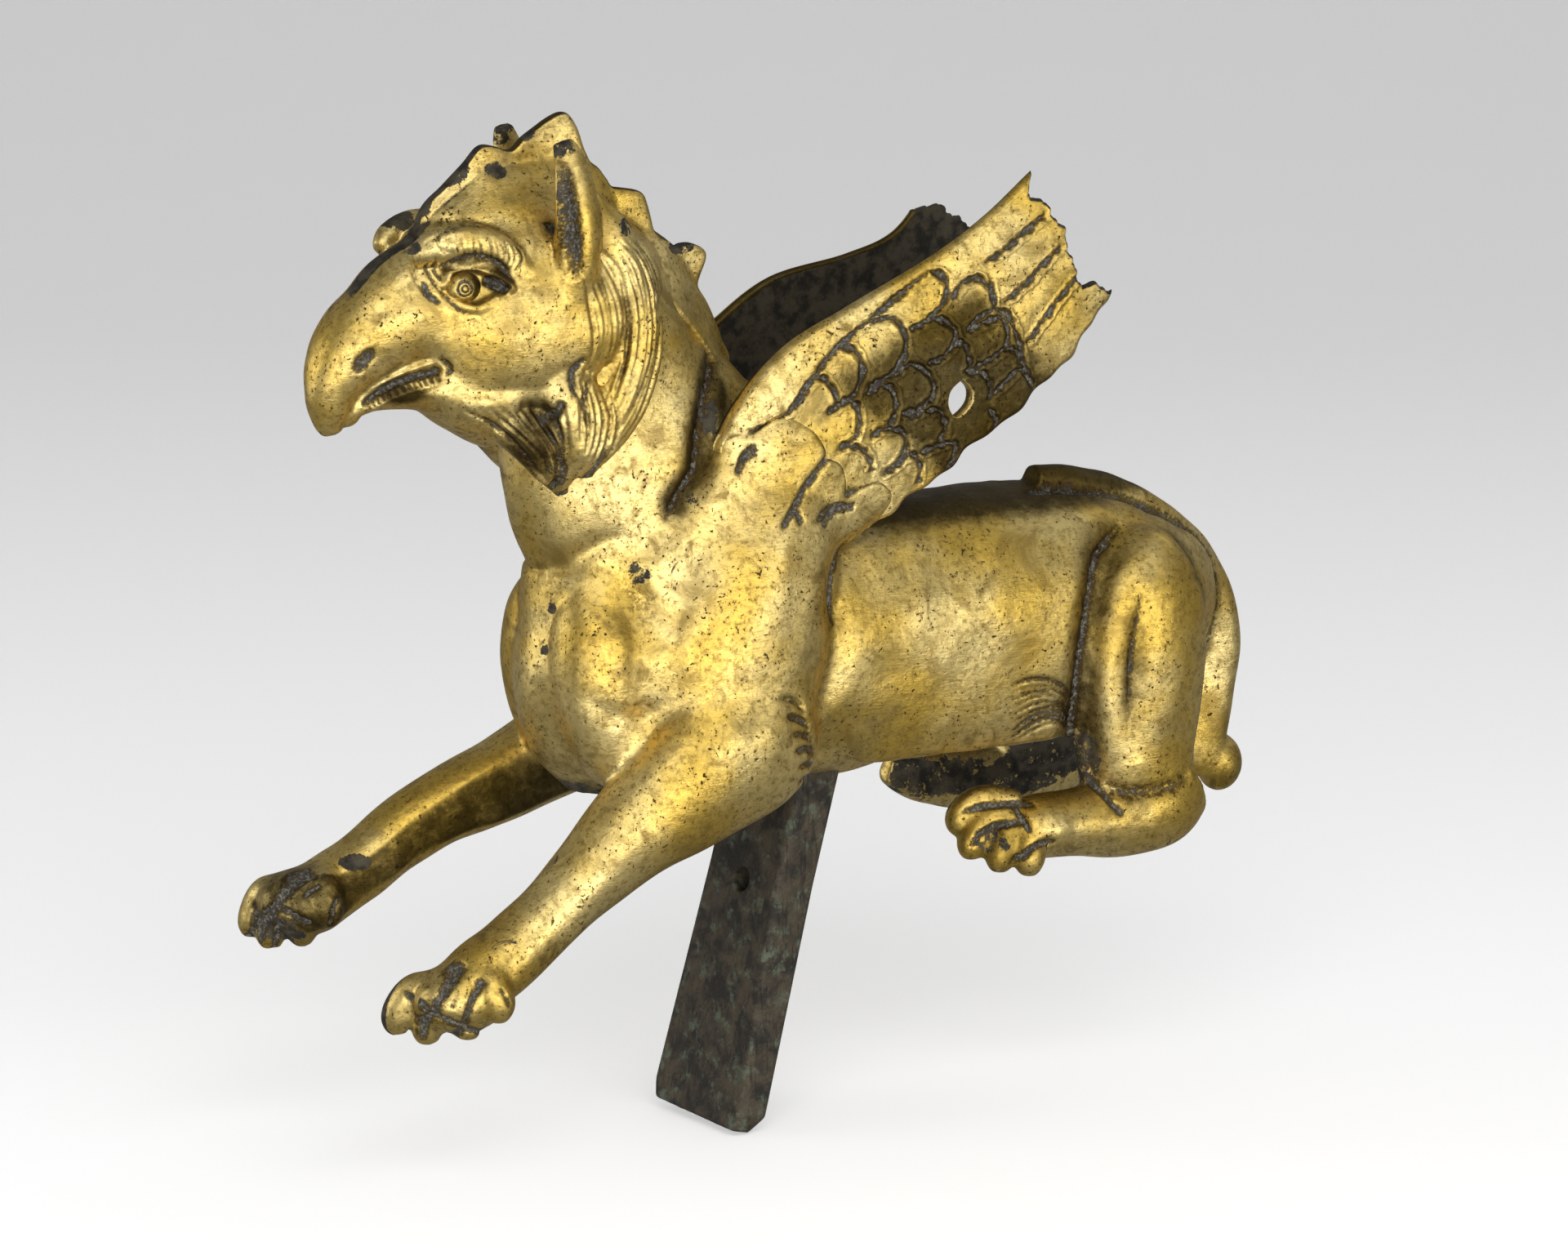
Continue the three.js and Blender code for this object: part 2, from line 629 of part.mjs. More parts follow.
function griffin() {
  const barrel = union([trunk(), chestFill()]).subtract(trunkCut());
  const body = union([
    barrel, neck(), ...pectorals(), head(), crest(),
    ...bothSides(brow), ...bothSides(eye), ...bothSides(ear), ...bothSides(mane),
    ...bothSides(shoulder), ...forelegs(),
    ...bothSides(thigh), ...bothSides(rump), ...hindFeet(), tail(), ...wings(),
  ]);
  const socket = tangBar(SEAT_CLEARANCE).translate(seat.clone().negate().toArray());
  return body.subtract(hollow()).subtract(socket);
}

function meshOf(name, solid, material) {
  const { vertProperties, triVerts } = solid.getMesh();
  const geometry = new THREE.BufferGeometry();
  geometry.setAttribute('position', new THREE.BufferAttribute(new Float32Array(vertProperties), 3));
  geometry.setIndex(new THREE.BufferAttribute(new Uint32Array(triVerts), 1));
  geometry.computeVertexNormals();
  const mesh = new THREE.Mesh(geometry, material);
  mesh.name = name;
  return mesh;
}

const gildedBronze = new THREE.MeshStandardMaterial({ color: 0xb48f3c, metalness: 1, roughness: 0.36 });
const bareBronze = new THREE.MeshStandardMaterial({ color: 0x37312a, metalness: 0.7, roughness: 0.7 });

const part = new THREE.Group();
const figure = meshOf('griffin', griffin(), gildedBronze);
figure.position.copy(seat);
part.add(figure, meshOf('tang', tangBar(0).subtract(pinHole()), bareBronze));

export default part;
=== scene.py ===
"""Studio view of a crouching griffin: worn gilded bronze on a bare bronze tang.

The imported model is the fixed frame. Its two plain solids are replaced by dressed pieces:
the body, the head, the two wings and the tang. Free forms are drawn in figure millimetres, whose
zero is where the tang meets the underside of the chest, and written to the meshes in metres.
"""
import logging
import math
from dataclasses import dataclass, replace
from enum import Enum
from typing import Callable, Iterable, Sequence

import bpy
import numpy as np
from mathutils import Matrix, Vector


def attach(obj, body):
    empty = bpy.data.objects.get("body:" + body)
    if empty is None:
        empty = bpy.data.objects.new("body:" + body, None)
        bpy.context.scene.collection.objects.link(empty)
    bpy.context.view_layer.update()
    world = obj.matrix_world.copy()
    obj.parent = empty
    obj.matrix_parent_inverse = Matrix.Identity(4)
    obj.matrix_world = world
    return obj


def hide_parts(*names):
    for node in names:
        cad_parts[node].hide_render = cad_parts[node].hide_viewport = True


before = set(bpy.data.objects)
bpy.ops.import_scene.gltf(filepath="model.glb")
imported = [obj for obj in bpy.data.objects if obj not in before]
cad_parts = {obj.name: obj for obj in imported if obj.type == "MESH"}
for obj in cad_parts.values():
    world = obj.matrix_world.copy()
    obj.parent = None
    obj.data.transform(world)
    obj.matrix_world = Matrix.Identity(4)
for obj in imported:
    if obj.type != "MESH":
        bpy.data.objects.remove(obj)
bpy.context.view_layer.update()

log = logging.getLogger("griffin")

MM = 0.001
SEAT = np.array([22.15, 0.0, 83.8])  # figure zero in the frame, millimetres
ROOT = "root"
GILDED_SLOT = "gilded_bronze"
BARE_SLOT = "bare_bronze"
NEAR = -1
FAR = 1
LEG_GAP = 34.0  # between the flat inner sides of the legs
WALL = 3.0
WING_THICKNESS = 2.8
THINNEST = 0.3  # the least half size of a section
TINY = 1e-9
GRIME_SPREAD = 1.15  # breadth of a stroke's dirt, in widths of the stroke
# breadth of the painted shade round a stroke, in widths of the stroke
SHADE_SPREAD = 2.0

Point = tuple[float, ...]
Spot = tuple[Point, Point, float]  # centre, radii and strength of a mark
Socket = bpy.types.NodeSocket


class Mark(Enum):
    """What each vertex carries besides its place, from 0 to 1."""

    GRIME = "grime"  # dirt in grooves
    BARE = "bare"  # lost gilding
    TARNISH_AND_SHADE = "tarnish_and_shade"  # dark tarnish, and painted shade in hollows, creases and on the eyeballs


def spline(values: np.ndarray, u: np.ndarray) -> np.ndarray:
    """Catmull-Rom curve through rows of values.

    Args:
        values: one row for each control point.
        u: places along the curve, counted in control points.

    Returns:
        One row for each place.
    """
    padded = np.vstack([2 * values[0] - values[1], values, 2 * values[-1] - values[-2]])
    index = np.clip(u.astype(int), 0, len(values) - 2)
    t = (u - index)[:, None]
    p0, p1, p2, p3 = (padded[index + k] for k in range(4))
    cubic = (3 * p1 - p0 - 3 * p2 + p3) * t**3
    return 0.5 * (2 * p1 + (p2 - p0) * t + (2 * p0 - 5 * p1 + 4 * p2 - p3) * t**2 + cubic)


def curve(points: Sequence[Point], steps: int = 6) -> np.ndarray:
    """A smooth polyline through the points."""
    values = np.array(points, float)
    count = (len(values) - 1) * steps + 1
    return spline(values, np.linspace(0, len(values) - 1, count))


def unit(rows: np.ndarray) -> np.ndarray:
    """Rows scaled to length one."""
    return rows / np.maximum(np.linalg.norm(rows, axis=-1, keepdims=True), TINY)


def ramp(values: np.ndarray, low: float, high: float) -> np.ndarray:
    """Smooth step from 0 at low to 1 at high, either of them the larger."""
    t = np.clip((values - low) / (high - low), 0, 1)
    return t * t * (3 - 2 * t)


def fade(gap: np.ndarray, width: float | np.ndarray) -> np.ndarray:
    """1 at no distance, about a third at the width."""
    return np.exp(-((gap / width) ** 2))


def tapered(share: np.ndarray, taper: float) -> np.ndarray:
    """Rises from 0 to 1 over the taper's share of a path at both of its ends."""
    return np.clip(np.minimum(share, 1 - share) / max(taper, 1e-3), 0, 1)


def distance_to(points: np.ndarray, path: np.ndarray) -> tuple[np.ndarray, np.ndarray]:
    """Distance from each point to a polyline, and the share along it of the nearest place."""
    steps = np.linalg.norm(np.diff(path, axis=0), axis=1)
    starts = np.r_[0, np.cumsum(steps)]
    best = np.full(len(points), np.inf)
    share = np.zeros(len(points))
    for k, length in enumerate(steps):
        if length < TINY:
            continue
        along = (path[k + 1] - path[k]) / length
        place = np.clip((points - path[k]) @ along, 0, length)
        gap = np.linalg.norm(points - path[k] - place[:, None] * along, axis=1)
        closer = gap < best
        best[closer] = gap[closer]
        share[closer] = (starts[k] + place[closer]) / starts[-1]
    return best, share


@dataclass
class Form:
    """A closed surface in figure millimetres."""

    points: np.ndarray
    triangles: np.ndarray

    @staticmethod
    def skin(rings: np.ndarray) -> "Form":
        """Joins rings of points, shaped (rings, sides, 3), and closes both ends."""
        count, sides, _ = rings.shape
        a = (np.arange(count - 1)[:, None] * sides + np.arange(sides)).ravel()
        b = (np.arange(count - 1)[:, None] * sides + (np.arange(sides) + 1) % sides).ravel()
        walls = np.vstack([np.c_[a, b, b + sides], np.c_[a, b + sides, a + sides]])
        k = np.arange(sides)
        start, end = count * sides, count * sides + 1
        first = np.c_[np.full(sides, start), (k + 1) % sides, k]
        base = (count - 1) * sides
        last = np.c_[np.full(sides, end), base + k, base + (k + 1) % sides]
        ends = np.vstack([rings[0].mean(0), rings[-1].mean(0)])
        return Form(np.vstack([rings.reshape(-1, 3), ends]), np.vstack([walls, first, last]))

    @staticmethod
    def loft(stations: Sequence[Point], sides: int = 40, steps: int = 6) -> "Form":
        """Sections along a smooth path.

        Args:
            stations: x, y, z, half width, height above, height below and squareness (2 is an ellipse).
            sides: points round a section.
            steps: sections from one station to the next.
        """
        rows = np.array([list(s) + [2.0] * (7 - len(s)) for s in stations], float)
        u = np.linspace(0, len(rows) - 1, (len(rows) - 1) * steps + 1)
        path = spline(rows, u)
        ahead = spline(rows, np.minimum(u + 0.1, u[-1]))[:, :3]
        behind = spline(rows, np.maximum(u - 0.1, 0))[:, :3]
        along = unit(ahead - behind)
        side = np.array([0.0, 1.0, 0.0])
        across = unit(side - along * (along @ side)[:, None])
        above = np.cross(along, across)
        wide, high, low, square = np.maximum(path[:, 3:], THINNEST).T[:, :, None]
        angle = 2 * math.pi * (np.arange(sides) + 0.5) / sides
        c, s = np.cos(angle)[None], np.sin(angle)[None]
        reach = (np.abs(c) ** square + np.abs(s) ** square) ** (-1 / square)
        tall = np.where(s > 0, high, low)
        rings = path[:, None, :3] + across[:, None] * (c * wide * reach)[..., None]
        return Form.skin(rings + above[:, None] * (s * tall * reach)[..., None])

    @staticmethod
    def ball(centre: Point, radii: Point, detail: int = 32) -> "Form":
        """An ellipsoid."""
        polar = math.pi * (np.arange(detail // 2) + 0.5) / (detail // 2)
        turn = 2 * math.pi * np.arange(detail) / detail
        flat, up = np.sin(polar)[:, None], np.cos(polar)[:, None] * np.ones(detail)
        rings = np.stack([flat * np.cos(turn), flat * np.sin(turn), up], -1)
        return Form.skin(rings * np.array(radii) + np.array(centre))

    @staticmethod
    def tapered_plate(outline: Sequence[Point], steps: int = 5) -> "Form":
        """A plate in the X-Z plane with its own half thickness at each point (x, z, half)."""
        closed = [*outline, outline[0]]
        rim = curve(closed, steps)[:-1]
        layers = np.linspace(-1, 1, 9)
        rounded = 1 - 0.35 * np.abs(layers) ** 3
        centre = rim[:, :2].mean(0)
        inward = unit(centre - rim[:, :2])
        rings = []
        for layer, keep in zip(layers, rounded):
            flat = rim[:, :2] + inward * (1 - keep) * rim[:, 2:3]
            rings.append(np.c_[flat[:, 0], layer * rim[:, 2], flat[:, 1]])
        return Form.skin(np.array(rings))

    def kept(self, change: Callable[[np.ndarray], np.ndarray]) -> "Form":
        """The form with its points changed."""
        return Form(change(self.points.copy()), self.triangles)


def both_sides(make: Callable[[int], Form]) -> list[Form]:
    """The form on the near and on the far side."""
    return [make(NEAR), make(FAR)]


def read_points(mesh: bpy.types.Mesh) -> np.ndarray:
    """One row for each vertex."""
    points = np.empty(len(mesh.vertices) * 3)
    mesh.vertices.foreach_get("co", points)
    return points.reshape(-1, 3)


def write_points(mesh: bpy.types.Mesh, points: np.ndarray) -> None:
    """Moves the vertices to the rows."""
    mesh.vertices.foreach_set("co", points.ravel())
    mesh.update()


def write_marks(mesh: bpy.types.Mesh, marks: dict[Mark, np.ndarray]) -> None:
    """Stores the marks on the vertices."""
    for mark, values in marks.items():
        layer = mesh.attributes.new(mark.value, "FLOAT", "POINT")
        layer.data.foreach_set("value", np.clip(values, 0, 1).astype(np.float32))


def activate(piece: bpy.types.Object) -> None:
    """Makes the piece the only selected and active object."""
    bpy.ops.object.select_all(action="DESELECT")
    piece.select_set(True)
    bpy.context.view_layer.objects.active = piece


def outward(piece: bpy.types.Object, merge: float = 0.0) -> None:
    """Turns the normals outward, after points within merge millimetres have been joined."""
    activate(piece)
    bpy.ops.object.mode_set(mode="EDIT")
    bpy.ops.mesh.select_all(action="SELECT")
    if merge:
        bpy.ops.mesh.remove_doubles(threshold=merge * MM)
    bpy.ops.mesh.normals_make_consistent(inside=False)
    bpy.ops.object.mode_set(mode="OBJECT")


def mesh_piece(name: str, forms: Iterable[Form]) -> bpy.types.Object:
    """One object that holds the forms side by side, in metres in the frame."""
    forms = list(forms)
    starts = np.cumsum([0] + [len(f.points) for f in forms[:-1]])
    points = (np.vstack([f.points for f in forms]) + SEAT) * MM
    triangles = np.vstack([f.triangles + start for f, start in zip(forms, starts)])
    mesh = bpy.data.meshes.new(name)
    mesh.vertices.add(len(points))
    mesh.vertices.foreach_set("co", points.ravel())
    mesh.loops.add(triangles.size)
    mesh.loops.foreach_set("vertex_index", triangles.ravel())
    mesh.polygons.add(len(triangles))
    mesh.polygons.foreach_set("loop_start", np.arange(len(triangles)) * 3)
    mesh.update(calc_edges=True)
    mesh.validate()
    piece = bpy.data.objects.new(name, mesh)
    bpy.context.scene.collection.objects.link(piece)
    outward(piece)
    return piece


def modify(piece: bpy.types.Object, kind: str, **settings) -> None:
    """Applies a modifier of the kind with its settings."""
    activate(piece)
    modifier = piece.modifiers.new(kind.lower(), kind)
    for name, value in settings.items():
        setattr(modifier, name, value)
    bpy.ops.object.modifier_apply(modifier=modifier.name)


def remesh(piece: bpy.types.Object, voxel: float) -> None:
    """Melts the piece's forms into one surface of even quads, voxel millimetres wide."""
    modify(piece, "REMESH", mode="VOXEL", voxel_size=voxel * MM)


def decimate(piece: bpy.types.Object, triangles: int) -> None:
    """Lowers the piece to about the given number of triangles."""
    count = sum(len(p.vertices) - 2 for p in piece.data.polygons)
    if count > triangles:
        modify(piece, "DECIMATE", ratio=triangles / count)


def cut(piece: bpy.types.Object, form: Form) -> None:
    """Takes the form's volume out of the piece."""
    tool = mesh_piece("cutter", [form])
    modify(piece, "BOOLEAN", operation="DIFFERENCE", solver="MANIFOLD", object=tool)
    bpy.data.objects.remove(tool, do_unlink=True)


@dataclass(frozen=True)
class Stroke:
    """A groove or ridge along a smooth path.

    A positive depth cuts in and a negative one raises. The width is the half width where the
    stroke has faded to a third. The shade is painted shade, a darkening round the stroke.
    """

    path: Sequence[Point]
    depth: float = 0.6
    width: float = 0.8
    grime: float = 0.8
    shade: float = 0.0
    taper: float = 0.25


def comb(first: Sequence[Point], last: Sequence[Point], count: int, stroke: Stroke) -> list[Stroke]:
    """Strokes that pass from one guide line to another, each with its own slight sway and depth."""
    size = max(len(first), len(last))
    guides = [spline(np.array(g, float), np.linspace(0, len(g) - 1, size)) for g in (first, last)]
    strands = []
    for k, share in enumerate(np.linspace(0, 1, count)):
        uneven = 0.5 + 0.5 * math.sin(2.4 * k * k + count)
        sway = 0.22 * np.sin(np.arange(size)[:, None] * (2.1, 2.7) + k * 1.7)
        path = guides[0] * (1 - share) + guides[1] * share + sway
        strands.append(replace(stroke, path=path, depth=stroke.depth * (0.6 + 0.6 * uneven),
                               grime=stroke.grime * (0.25 + 0.75 * uneven)))
    return strands


class Clay:
    """The vertices of a piece while it is modelled, in figure millimetres."""

    def __init__(self, piece: bpy.types.Object) -> None:
        self.piece = piece
        mesh = piece.data
        self.count = len(mesh.vertices)
        self.co = read_points(mesh) / MM - SEAT
        edges = np.empty(len(mesh.edges) * 2, np.int32)
        mesh.edges.foreach_get("vertices", edges)
        self.edges = edges.reshape(-1, 2)
        self.degree = np.maximum(np.bincount(edges, minlength=self.count), 1)[:, None]
        self.marks = {mark: np.zeros(self.count) for mark in Mark}
        self.normals = np.zeros_like(self.co)
        self.refresh()

    def refresh(self) -> None:
        """Writes the points to the mesh and reads the normals back."""
        mesh = self.piece.data
        write_points(mesh, (self.co + SEAT) * MM)
        normals = np.empty(self.count * 3)
        mesh.vertex_normals.foreach_get("vector", normals)
        self.normals = normals.reshape(-1, 3)

    def averaged(self, values: np.ndarray) -> np.ndarray:
        """Each row's mean over the vertex's neighbours."""
        a, b = self.edges.T
        total = [np.bincount(a, v[b], self.count) + np.bincount(b, v[a], self.count) for v in values.T]
        return np.stack(total, 1) / self.degree

    def relax(self, rounds: int, weight: float | np.ndarray = 0.5) -> None:
        """Smooths the points by their neighbours."""
        amount = np.broadcast_to(np.asarray(weight, float), (self.count,))[:, None]
        for _ in range(rounds):
            self.co += amount * (self.averaged(self.co) - self.co)

    def near(self, centre: Point, radii: Point) -> np.ndarray:
        """1 at the centre, falling to 0 at the ellipsoid's radii."""
        gap = np.linalg.norm((self.co - np.array(centre)) / np.array(radii), axis=1)
        return ramp(gap, 1.0, 0.35)

    def melt(self, places: Sequence[tuple[Point, Point]], rounds: int) -> None:
        """Smooths round places, each a far-side centre with its radii, on both sides."""
        blend = np.zeros(self.count)
        for side in (NEAR, FAR):
            for (x, y, z), radii in places:
                blend = np.maximum(blend, self.near((x, side * y, z), radii))
        self.relax(rounds, 0.5 * blend)
        self.refresh()

    def wobble(self, height: float, lengths: Point, seed: int) -> None:
        """Adds the slight unevenness of a hand-finished casting, in waves of the given lengths."""
        random = np.random.default_rng(seed)
        total = np.zeros(self.count)
        waves = 28
        for _ in range(waves):
            direction = unit(random.normal(size=3)) * 2 * math.pi / random.uniform(*lengths)
            total += np.sin(self.co @ direction + random.uniform(0, 2 * math.pi))
        self.push(total * height / math.sqrt(waves))

    def mark_spots(self, mark: Mark, spots: Iterable[Spot], paired: bool = False) -> None:
        """Raises a mark round each spot. A paired one is given for the far side and is on both."""
        for (x, y, z), radii, strength in spots:
            for sign in (NEAR, FAR) if paired else (1,):
                self.raise_mark(mark, self.near((x, sign * y, z), radii) * strength)

    def raise_mark(self, mark: Mark, values: np.ndarray, chosen: np.ndarray | slice = slice(None)) -> None:
        """Raises a mark of the chosen vertices to the values where they are higher."""
        self.marks[mark][chosen] = np.maximum(self.marks[mark][chosen], values)

    def push(self, amount: np.ndarray) -> None:
        """Moves the points along their normals by millimetres."""
        self.co += self.normals * amount[:, None]

    def carve(self, strokes: Iterable[Stroke], side: int, low: float = 0.0) -> None:
        """Presses strokes into the surface that faces their side.

        Args:
            strokes: the strokes, with paths in the X-Z plane.
            side: the side that they are pressed from.
            low: the least distance from the middle plane, so that only outer walls take them.
        """
        least, full = 0.05, 0.3  # a surface that faces the side by less takes none, by more all
        facing = side * self.normals[:, 1]
        for stroke in strokes:
            path = curve(stroke.path)
            margin = stroke.width * (4 if stroke.shade else 3)
            flat = self.co[:, [0, 2]]
            inside = (flat > path.min(0) - margin).all(1) & (flat < path.max(0) + margin).all(1)
            chosen = np.where(inside & (facing > least) & (side * self.co[:, 1] > low))[0]
            if not len(chosen):
                continue
            gap, share = distance_to(flat[chosen], path)
            ends = tapered(share, stroke.taper) ** 0.6
            amount = fade(gap, stroke.width) * ends * ramp(facing[chosen], least, full)
            self.co[chosen] -= self.normals[chosen] * (stroke.depth * amount)[:, None]
            dirt = stroke.grime * fade(gap, stroke.width * GRIME_SPREAD) * ends
            # painted shade round the stroke, kept in the tarnish and shade mark
            dark = stroke.shade * fade(gap, stroke.width * SHADE_SPREAD) * ends
            self.raise_mark(Mark.GRIME, dirt, chosen)
            self.raise_mark(Mark.TARNISH_AND_SHADE, dark, chosen)

    def score(self, path: Sequence[Point], depth: float, width: float, grime: float) -> None:
        """Presses a groove along a path in space, as wide to all sides."""
        line = curve(path)
        reach, taper, spread = 8.0, 0.06, 1.2
        inside = (self.co > line.min(0) - reach).all(1) & (self.co < line.max(0) + reach).all(1)
        near = np.where(inside)[0]
        gap, share = distance_to(self.co[near], line)
        ends = tapered(share, taper)
        self.co[near] -= self.normals[near] * (depth * fade(gap, width) * ends)[:, None]
        self.raise_mark(Mark.GRIME, grime * fade(gap, width * spread) * ends, near)

    def crevices(self, mark: Mark, rounds: int, strength: float, spare: float = 0.0) -> None:
        """Raises a mark where the surface lies deeper than its surroundings by more than spare."""
        smooth = self.co
        for _ in range(rounds):
            smooth = smooth + 0.5 * (self.averaged(smooth) - smooth)
        depth = ((smooth - self.co) * self.normals).sum(1)
        self.raise_mark(mark, np.clip((depth - spare) * strength, 0, 1))

    def finish(self) -> None:
        """Writes the points and the marks to the mesh."""
        self.refresh()
        write_marks(self.piece.data, self.marks)


def srgb(code: str) -> tuple[float, float, float, float]:
    """A linear colour from an sRGB hex code."""
    parts = [int(code[i:i + 2], 16) / 255 for i in (0, 2, 4)]
    linear = [c / 12.92 if c <= 0.04045 else ((c + 0.055) / 1.055) ** 2.4 for c in parts]
    return (*linear, 1.0)


class Paint:
    """A material under construction, with its patterns in millimetres of the object."""

    def __init__(self, name: str) -> None:
        self.material = bpy.data.materials.new(name)
        self.material.use_nodes = True
        self.tree = self.material.node_tree
        self.tree.nodes.clear()
        place = self.add("ShaderNodeTexCoord").outputs["Object"]
        self.place = self.add("ShaderNodeMapping", Vector=place, Scale=(1000, 1000, 1000)).outputs[0]

    def add(self, kind: str, **values: object) -> bpy.types.Node:
        """Adds a node and sets its properties and inputs, by name or _number. A socket is linked."""
        node = self.tree.nodes.new(kind)
        for name, value in values.items():
            if hasattr(node, name):
                setattr(node, name, value)
                continue
            key = int(name[1:]) if name[1:].isdigit() else name.replace("_", " ")
            socket = node.inputs[key]
            if isinstance(value, Socket):
                self.tree.links.new(value, socket)
            else:
                socket.default_value = value
        return node

    def noise(self, size: float, detail: float = 4.0, rough: float = 0.55, twist: float = 0.0,
              place: Socket | None = None) -> Socket:
        """Noise with features of a size in millimetres."""
        return self.add("ShaderNodeTexNoise", Vector=place or self.place, Scale=1 / size, Detail=detail,
                        Roughness=rough, Distortion=twist).outputs["Fac"]

    def stretched(self, turn: Point, size: Point) -> Socket:
        """The place, turned and measured with its own unit along each axis."""
        return self.add("ShaderNodeMapping", Vector=self.place, Rotation=turn,
                        Scale=tuple(1 / length for length in size)).outputs[0]

    def steps(self, value: Socket, low: float, high: float) -> Socket:
        """0 below low, 1 above high."""
        return self.add("ShaderNodeMapRange", interpolation_type="SMOOTHSTEP", Value=value,
                        From_Min=low, From_Max=high).outputs["Result"]

    def mix(self, share: Socket, first: Socket | str, second: Socket | str) -> Socket:
        """The second colour over the first, each of them a socket or a hex code."""
        first, second = (srgb(colour) if isinstance(colour, str) else colour for colour in (first, second))
        return self.add("ShaderNodeMix", data_type="RGBA", _0=share, _6=first, _7=second).outputs[2]

    def math(self, kind: str, a: Socket | float, b: Socket | float, c: float | Socket = 0.0) -> Socket:
        """A number from two or three numbers."""
        return self.add("ShaderNodeMath", operation=kind, _0=a, _1=b, _2=c).outputs[0]

    def times(self, a: Socket | float, b: Socket | float) -> Socket:
        """The product."""
        return self.math("MULTIPLY", a, b)

    def most(self, a: Socket, b: Socket) -> Socket:
        """The larger of the two."""
        return self.math("MAXIMUM", a, b)

    def scaled(self, value: Socket, factor: float, start: float | Socket) -> Socket:
        """The value times the factor, added to the start."""
        return self.math("MULTIPLY_ADD", value, factor, start)

    def mark(self, mark: Mark) -> Socket:
        """A mark of the mesh, 0 to 1."""
        return self.add("ShaderNodeAttribute", attribute_name=mark.value).outputs["Fac"]

    def finish(self, height: Socket, lift: float, **values: object) -> bpy.types.Material:
        """Closes the material with a bump of lift millimetres."""
        bump = self.add("ShaderNodeBump", Strength=1.0, Distance=lift * MM, Height=height)
        shader = self.add("ShaderNodeBsdfPrincipled", Normal=bump.outputs[0], **values)
        self.add("ShaderNodeOutputMaterial", Surface=shader.outputs[0])
        return self.material


